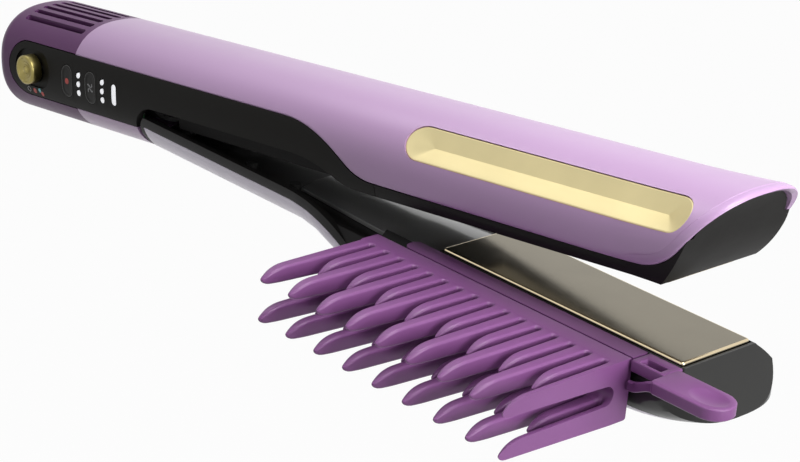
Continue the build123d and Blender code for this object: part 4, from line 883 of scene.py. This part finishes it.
def plate_piece(name, node, x1, body, upper):
    """A sheet with turned-down edges over a shallow cup; its edge bands take the paler second metal, a painted
    highlight.
    """
    steps = [(0.0, -PLATE_SKIRT), (0.0, -0.75), (0.06, -0.42), (0.22, -0.16), (0.42, -0.04), (0.7, 0.0), (1.0, 0.0)]
    rings = [plate_ring(x1, inset, drop, max(0.2, PLATE_R - inset)) for inset, drop in steps]
    under = [plate_ring(x1, CUP_INSET, drop, CUP_R) for drop in (-PLATE_T, -PLATE_SKIRT)]
    form = bmesh.new()
    outer = join_rings(form, [under[1]] + rings, scale=1)
    cup = join_rings(form, under, scale=1)
    form.faces.new(outer[-1])
    form.faces.new(cup[0][::-1])
    bmesh.ops.remove_doubles(form, verts=form.verts, dist=1e-4)
    bmesh.ops.recalc_face_normals(form, faces=form.faces)
    # Faces of the rounded edge band take the paler metal: a painted highlight.
    for f in form.faces:
        low = min(v.co.z for v in f.verts) - PLATE_TOP
        f.material_index = 1 if -0.75 < low < -0.001 and f.calc_center_median().z > PLATE_TOP - 0.7 else 0
    if upper:
        flip = Matrix.Translation((0, 0, FLIP_Z)) @ Matrix.Diagonal((1, 1, -1, 1))
        form.transform(swing(CLOSED_ANGLE) @ flip)
        bmesh.ops.recalc_face_normals(form, faces=form.faces)
    else:
        form.transform(swing(OPEN_ANGLE))
    form.transform(Matrix.Scale(MM, 4))
    piece = settle(name, form, bronze, body, 40)
    piece.data.materials.append(edge_highlight_metal.data)
    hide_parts(node)


plate_piece("lower_plate_sheet", "lower_plate", LOWER_END, "lower_float", False)
plate_piece("upper_plate_sheet", "upper_plate", UPPER_END, "upper_float", True)
heater_white = moulded("heater_ceramic", rgb(222, 218, 206), 0.5, 0.2, 0.4)
silicone = moulded("red_silicone", rgb(150, 58, 40), 0.6, 0.4, 0.2, Specular_IOR_Level=0.4)
finish_nodes(heater_white, "lower_heater", "upper_heater")
finish_nodes(drawn_steel, "lower_sensor", "upper_sensor")
finish_nodes(silicone, "lower_cushions", "upper_cushions")

# ---------- Comb
# The clip-on comb is one purple moulding: a deep back, two rows of long and short teeth in turn
# with full rounds where they meet, a rail along the plate, and a thumb latch on a thin neck and
# a spring web. Two tongues on its back reach into the side of the arm.
comb_purple = moulded("comb_purple", rgb(120, 72, 124), 0.4, 0.12, 0.3, Specular_IOR_Level=0.4)
eased("comb_rail", "comb", comb_purple, 0.35)

COMB_START, COMB_END, COMB_TOP, COMB_LOW = 202.9, 304.0, -5.1, -23.6
BACK_Y, ROOT_Y, BACK_ROUND = -21.4, -27.5, 0.8
TONGUES_X, TONGUE_T, TONGUE_HALF, TONGUE_Z = (222.0, 290.0), 2.4, 4.0, -18.4
TOOTH_PITCH, TOOTH_W, TOOTH_TIP_W, TOOTH_H, TOOTH_ROUND = 12.37, 4.2, 3.2, 6.3, 0.85
LONG_TIP_Y, SHORT_TIP_Y, REAR_SHARE = -70.0, -53.2, 0.955
NOSE_LEN, NOSE_DROP, NOSE_POWER, HEEL_LEN, HEEL_RISE, TIP_ROUND, TIP_POWER = 10.5, 2.9, 2.7, 2.6, 1.6, 8.5, 0.9
ROW_Z = (COMB_TOP - TOOTH_H / 2, COMB_LOW + TOOTH_H / 2)
GAP_R = (TOOTH_PITCH / 2 - TOOTH_W) / 2
GAP_MID_Y = ROOT_Y - TOOTH_ROUND - GAP_R
row_r = (ROW_Z[0] - ROW_Z[1] - TOOTH_H) / 2
row_mid = (ROW_Z[0] + ROW_Z[1]) / 2


def in_arm(points):
    """Points drawn for the parallel arm, swung to where they rest."""
    return [swing(OPEN_ANGLE) @ Vector(p) for p in points]


back_line = [(ROOT_Y, COMB_TOP)]
for cz, a0 in ((COMB_TOP - BACK_ROUND, 90), (COMB_LOW + BACK_ROUND, 0)):
    for a in (radians(a0 - 18 * k) for k in range(6)):
        back_line.append((BACK_Y - BACK_ROUND + BACK_ROUND * cos(a), cz + BACK_ROUND * sin(a)))
back_line += [(ROOT_Y, COMB_LOW)]
back_rings = [in_arm([(x, y, z) for y, z in back_line]) for x in (COMB_START, COMB_END)]
comb_back = skin("comb_back", back_rings, comb_purple, "comb")
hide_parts("comb_spine")
for k, x in enumerate(TONGUES_X):
    rings = []
    for y, inset in ((-21.9, 0.0), (-20.1, 0.0), (-19.8, 0.3)):
        left, right = x - TONGUE_HALF + inset, x + TONGUE_HALF - inset
        low, high = TONGUE_Z + inset, TONGUE_Z + TONGUE_T - inset
        rings.append(in_arm([(left, y, low), (right, y, low), (right, y, high), (left, y, high)]))
    skin(f"comb_tongue_{k + 1}", rings, comb_purple, "comb")


def tooth_section(y, tip_y, mid_z, corner_points=6):
    """One ring across a tooth: rounded edges that run out into the full-round gap at its root."""
    along = (ROOT_Y - y) / (ROOT_Y - tip_y)
    half = (TOOTH_W + (TOOTH_TIP_W - TOOTH_W) * along) / 2
    top, low = mid_z + TOOTH_H / 2, mid_z - TOOTH_H / 2
    nose, heel, close = (share_of(y, tip_y + reach, tip_y) for reach in (NOSE_LEN, HEEL_LEN, TIP_ROUND))
    top -= NOSE_DROP * nose ** NOSE_POWER
    low += HEEL_RISE * along + (TOOTH_H - NOSE_DROP - HEEL_RISE) * (1 - sqrt(1 - heel**2))
    half, top = max(half * sqrt(1 - close**2) ** TIP_POWER, 0.05), max(top, low + 0.1)
    off = y - (ROOT_Y - row_r)
    if off > 0:
        joint = sqrt(max(0.0, row_r**2 - off**2))
        top, low = (top, row_mid + joint) if mid_z > row_mid else (row_mid - joint, low)
    r = min(TOOTH_ROUND, half * 0.9, (top - low) * 0.45)
    cell = TOOTH_PITCH / 4
    corner = []
    for k in range(corner_points + 1):
        a = pi / 2 * k / corner_points
        inward, fall = r * (1 - sin(a)), r * (1 - cos(a))
        if y > GAP_MID_Y:
            reach, off = GAP_R + inward, y - GAP_MID_Y
            if off < reach:
                corner.append((cell - sqrt(reach**2 - off**2), fall))
            else:
                near = share_of(off, GAP_R, GAP_R + r)
                corner.append((cell, r * (1 - sqrt(1 - (1 - near) ** 2)) if off > GAP_R else r))
        else:
            corner.append((half - inward, fall))
    side = [(x, y, top - fall) for x, fall in corner] + [(x, y, low + fall) for x, fall in corner[::-1]]
    return side + [(-x, y, z) for x, y, z in side[::-1]]


def tooth_mesh(name, tip_y, mid_z):
    """One tooth at X 0 in metres, for the tree that sets out a row."""
    reach = GAP_R + TOOTH_ROUND
    stations = [GAP_MID_Y + reach * cos(radians(a)) for a in (0, 12, 22, 32, 40, 47, 53, 58, 64, 70, 78, 84)]
    stations += [GAP_MID_Y - 0.001]
    stations += [ROOT_Y - row_r + d for d in (1.05, 0.85, 0.65, 0.45, 0.2, 0.0)]
    stations += [GAP_MID_Y + (tip_y + NOSE_LEN - GAP_MID_Y) * s for s in (0.2, 0.45, 0.7)]
    stations += [tip_y + NOSE_LEN * (1 - k / 12) for k in range(12)]
    stations += [tip_y + d for d in (0.7, 0.45, 0.25, 0.1, 0.02)]
    stations = sorted(set(round(y, 4) for y in stations), reverse=True)
    root = Vector((0, ROOT_Y, 0))
    form = ringed([[Vector(p) - root for p in tooth_section(y, tip_y, mid_z)] for y in stations])
    mesh = bpy.data.meshes.new(name)
    form.to_mesh(mesh)
    form.free()
    return placed(name, mesh)


def tooth_rows(name, node, tip_y, first_x, tooth_count):
    """Two rows of equal teeth set out along the comb's back by Geometry Nodes."""
    rows = Growth(name)
    pitch = rows.size("Pitch", TOOTH_PITCH * MM)
    count = rows.size("Teeth in a row", tooth_count, "NodeSocketInt")
    first = rows.size("First tooth", first_x * MM)
    step = rows.node("ShaderNodeCombineXYZ", {}, {"X": pitch})
    start = rows.node("ShaderNodeCombineXYZ", {}, {"X": first, "Y": ROOT_Y * MM})
    places = rows.node("GeometryNodeMeshLine", {}, {"Count": count, "Start Location": start, "Offset": step})
    rear = rows.size("Length of the rear tooth", REAR_SHARE)
    order = rows.node("GeometryNodeInputIndex")
    spread = {"Value": order, "From Min": 0.0, "From Max": count - 1.0, "To Min": rear, "To Max": 1.0}
    length = rows.node("ShaderNodeMapRange", {}, spread)
    stretch = rows.node("ShaderNodeCombineXYZ", {}, {"X": 1.0, "Y": length, "Z": 1.0})
    guides, sets = [], []
    for label, mid_z in zip(("upper", "lower"), ROW_Z):
        guides.append(tooth_mesh(f"{name}_{label}_guide", tip_y, mid_z))
        tooth_in = rows.size(f"Tooth of the {label} row", guides[-1], "NodeSocketObject")
        tooth = rows.node("GeometryNodeObjectInfo", {}, {"Object": tooth_in}, out="Geometry")
        laid = {"Points": places, "Instance": tooth, "Scale": stretch}
        sets.append(rows.node("GeometryNodeInstanceOnPoints", {}, laid))
    joined = rows.node("GeometryNodeJoinGeometry", {}, {"Geometry": sets})
    piece = rows.grow(name, joined, comb_purple)
    for guide in guides:
        bpy.data.objects.remove(guide)
    form = bmesh.new()
    form.from_mesh(piece.data)
    for x, way in ((COMB_END, 1), (COMB_START, -1)):
        bmesh.ops.bisect_plane(
            form, geom=form.verts[:] + form.edges[:] + form.faces[:], plane_co=(x * MM, 0, 0),
            plane_no=(way, 0, 0), clear_outer=True, dist=1e-6,
        )
        bmesh.ops.holes_fill(form, edges=[e for e in form.edges if e.is_boundary])
    form.transform(Matrix.Scale(MM, 4) @ swing(OPEN_ANGLE) @ Matrix.Scale(1 / MM, 4))
    form.to_mesh(piece.data)
    form.free()
    shade(piece.data, 40)
    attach(piece, "comb")
    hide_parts(node)


first_long = COMB_START + TOOTH_W / 2
tooth_rows("comb_teeth_long", "comb_long_teeth", LONG_TIP_Y, first_long, 9)
tooth_rows("comb_teeth_short", "comb_short_teeth", SHORT_TIP_Y, first_long + TOOTH_PITCH / 2, 8)

# start, end, middle line, half width, corner radii at the start and the end
NECK = (304.65, 316.4, -18.95, 3.85, (0.4, 0.4))
SLOT = (306.9, 314.2, -20.1, 1.55, (0.5, 0.5))
TAB = (316.0, 339.3, -22.4, 6.0, (1.6, 5.99))
NECK_T, TAB_T, DISH_X, DISH_LONG, DISH_WIDE = 3.3, 3.6, 331.6, 6.4, 4.3
WEB_STATIONS, WEB_THICK, WEB_TALL, WEB_EDGE = 12, 1.5, 2.9, 0.3
WEB_FROM, WEB_TO = Vector((304.65, -22.6, -12.6)), Vector((318.05, -27.2, -7.0))


def at_height(line, drop):
    """A plan outline at so much below the comb's top."""
    return in_arm([(x, y, COMB_TOP - drop) for x, y in line])


def stepped(plan, steps):
    """Rings of one plan at several heights, each larger or smaller by so much."""
    return [at_height(corners(*plan, grow), drop) for grow, drop in steps]


def oval(share, count=6):
    """The outline of the dish in the tab, drawn in toward its middle."""
    turns = [radians(a0 + 90 * k / count) for a0 in (0, 90, 180, 270) for k in range(count + 1)]
    return [(DISH_X + DISH_LONG * share * cos(a), TAB[2] + DISH_WIDE * share * sin(a)) for a in turns]


steps = [(-1.0, TAB_T), (-0.35, TAB_T - 0.05), (0, TAB_T - 0.4), (0, 0.5), (-0.06, 0.25), (-0.25, 0.06), (-0.5, 0)]
dish = ((1.0, 0), (0.94, 0.06), (0.82, 0.25), (0.65, 0.5), (0.45, 0.7), (0.25, 0.8), (0.03, 0.83))
rings = stepped(TAB, steps) + [at_height(oval(share), drop) for share, drop in dish]
latch = skin("comb_latch_tab", rings, comb_purple, "comb_tab", 40)
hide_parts("comb_latch")
rings = []
for k in range(WEB_STATIONS + 1):
    share = k / WEB_STATIONS
    bend = share * share * (3 - 2 * share)
    x = WEB_FROM.x + (WEB_TO.x - WEB_FROM.x) * share
    y, z = (WEB_FROM[n] + (WEB_TO[n] - WEB_FROM[n]) * bend for n in (1, 2))
    a, b = WEB_THICK / 2, WEB_TALL / 2
    outline = [(a, b - WEB_EDGE), (a - WEB_EDGE, b), (WEB_EDGE - a, b), (-a, b - WEB_EDGE)]
    outline += [(-a, -b) for a, b in outline]
    rings.append(in_arm([(x, y + a, z + b) for a, b in outline]))
skin("comb_latch_web", rings, comb_purple, "comb_tab", 40)
rings = stepped(NECK, ((-0.3, NECK_T), (0, NECK_T - 0.3), (0, 0.3), (-0.1, 0.08), (-0.3, 0)))
rings += stepped(SLOT, ((0.2, 0), (0.05, 0.06), (0, 0.2), (0, NECK_T)))
skin("comb_latch_neck", rings, comb_purple, "comb_tab", 40, around=True)

# ---------- Light
# A white room with faint even light and four soft lamps: over the tip, in front of the tip, at
# the control side and above the rear. The background is white to the camera and in reflections.
ROOM_LIGHT, ROOM_COLOUR = 0.12, (0.97, 0.96, 1.0)
scene = bpy.context.scene
scene.world = bpy.data.worlds.new("studio")
scene.world.use_nodes = True
studio = Nodes(scene.world.node_tree)


def seen_directly(nodes_of):
    """1 for camera, mirror and glass rays, which see the plain background."""
    kinds = ("Is Camera Ray", "Is Glossy Ray", "Is Transmission Ray")
    seen, *others = (nodes_of.node("ShaderNodeLightPath", out=kind) for kind in kinds)
    for other in others:
        seen = seen.math("MAXIMUM", other)
    return seen


white_node = studio.tree.nodes["Background"]
white_node.inputs["Color"].default_value = (1, 1, 1, 1)
room = studio.node("ShaderNodeBackground", {}, {"Color": (*ROOM_COLOUR, 1), "Strength": ROOM_LIGHT})
sides = {0: seen_directly(studio), 1: room, 2: Val(studio, white_node.outputs[0])}
studio.feed(studio.tree.nodes["World Output"].inputs["Surface"], studio.node("ShaderNodeMixShader", {}, sides))


def lamp(name, place, aim, size, power):
    """A rectangular soft lamp, in metres and watts, turned toward a point."""
    data = bpy.data.lights.new(name, "AREA")
    data.shape, data.energy = "RECTANGLE", power
    data.size, data.size_y = size
    light = placed(name, data)
    light.location = place
    light.rotation_mode = "QUATERNION"
    light.rotation_quaternion = (Vector(aim) - Vector(place)).to_track_quat("-Z", "Y")


lamp("top_lamp", (0.44, 0.02, 0.45), (0.29, 0, 0), (0.3, 0.3), 2.7)
lamp("tip_lamp", (1.0, 0.02, 0.12), (0.3, 0, 0), (0.5, 0.4), 6.4)
lamp("side_lamp", (0.10, -1.0, 0.10), (0.2, 0, -0.03), (0.5, 0.25), 0.9)
lamp("sheen_lamp", (-0.22, -0.02, 0.65), (0.27, 0, 0), (0.35, 0.35), 0.7)

# ---------- Floor
# A plain pale floor far enough below that the soft shadow falls under the object, out of the
# photograph's frame.
FLOOR_Z, FLOOR_HALF, FLOOR_SEEN = -0.30, 6.0, 0.97
floor_mesh = bpy.data.meshes.new("floor")
floor_corners = [(x * FLOOR_HALF, y * FLOOR_HALF, FLOOR_Z) for x, y in ((-1, -1), (1, -1), (1, 1), (-1, 1))]
floor_mesh.from_pydata(floor_corners, [], [(0, 1, 2, 3)])
floor = placed("floor", floor_mesh)
floor_finish = Finish("pale_floor", (0.35, 0.35, 0.35), 0.9)
lit, plain = Val(floor_finish, floor_finish.shader.outputs[0]), floor_finish.node("ShaderNodeEmission")
lay = floor_finish.node("ShaderNodeMixShader", {}, {0: seen_directly(floor_finish) * FLOOR_SEEN, 1: lit, 2: plain})
floor_finish.feed(floor_finish.tree.nodes["Material Output"].inputs["Surface"], lay)
floor_mesh.materials.append(floor_finish.data)

# ---------- Camera
# The photograph's viewing angle: in front of the tip on the control side, looking slightly down.
# Its place and focal length were fitted to the object's measures in the photograph.
TURN, RISE = radians(47.31), radians(17.36)
TO_ORIGIN = (-0.12802, -0.06497, 0.83855)   # from the camera to the frame's origin: right, down, ahead
FOCAL_PIXELS, PHOTO_PIXELS, SENSOR = 2331, 800, 36
ahead = Vector((-sin(TURN) * cos(RISE), cos(TURN) * cos(RISE), -sin(RISE)))
right = Vector((cos(TURN), sin(TURN), 0))
down = ahead.cross(right)
camera = placed("camera", bpy.data.cameras.new("camera"))
spot = -(right * TO_ORIGIN[0] + down * TO_ORIGIN[1] + ahead * TO_ORIGIN[2])
camera.matrix_world = Matrix.Translation(spot) @ Matrix((right, -down, -ahead)).transposed().to_4x4()
camera.data.sensor_width = SENSOR
camera.data.lens = FOCAL_PIXELS / PHOTO_PIXELS * SENSOR
camera.data.clip_start = 0.05
scene.camera = camera
scene.view_settings.view_transform = "Standard"
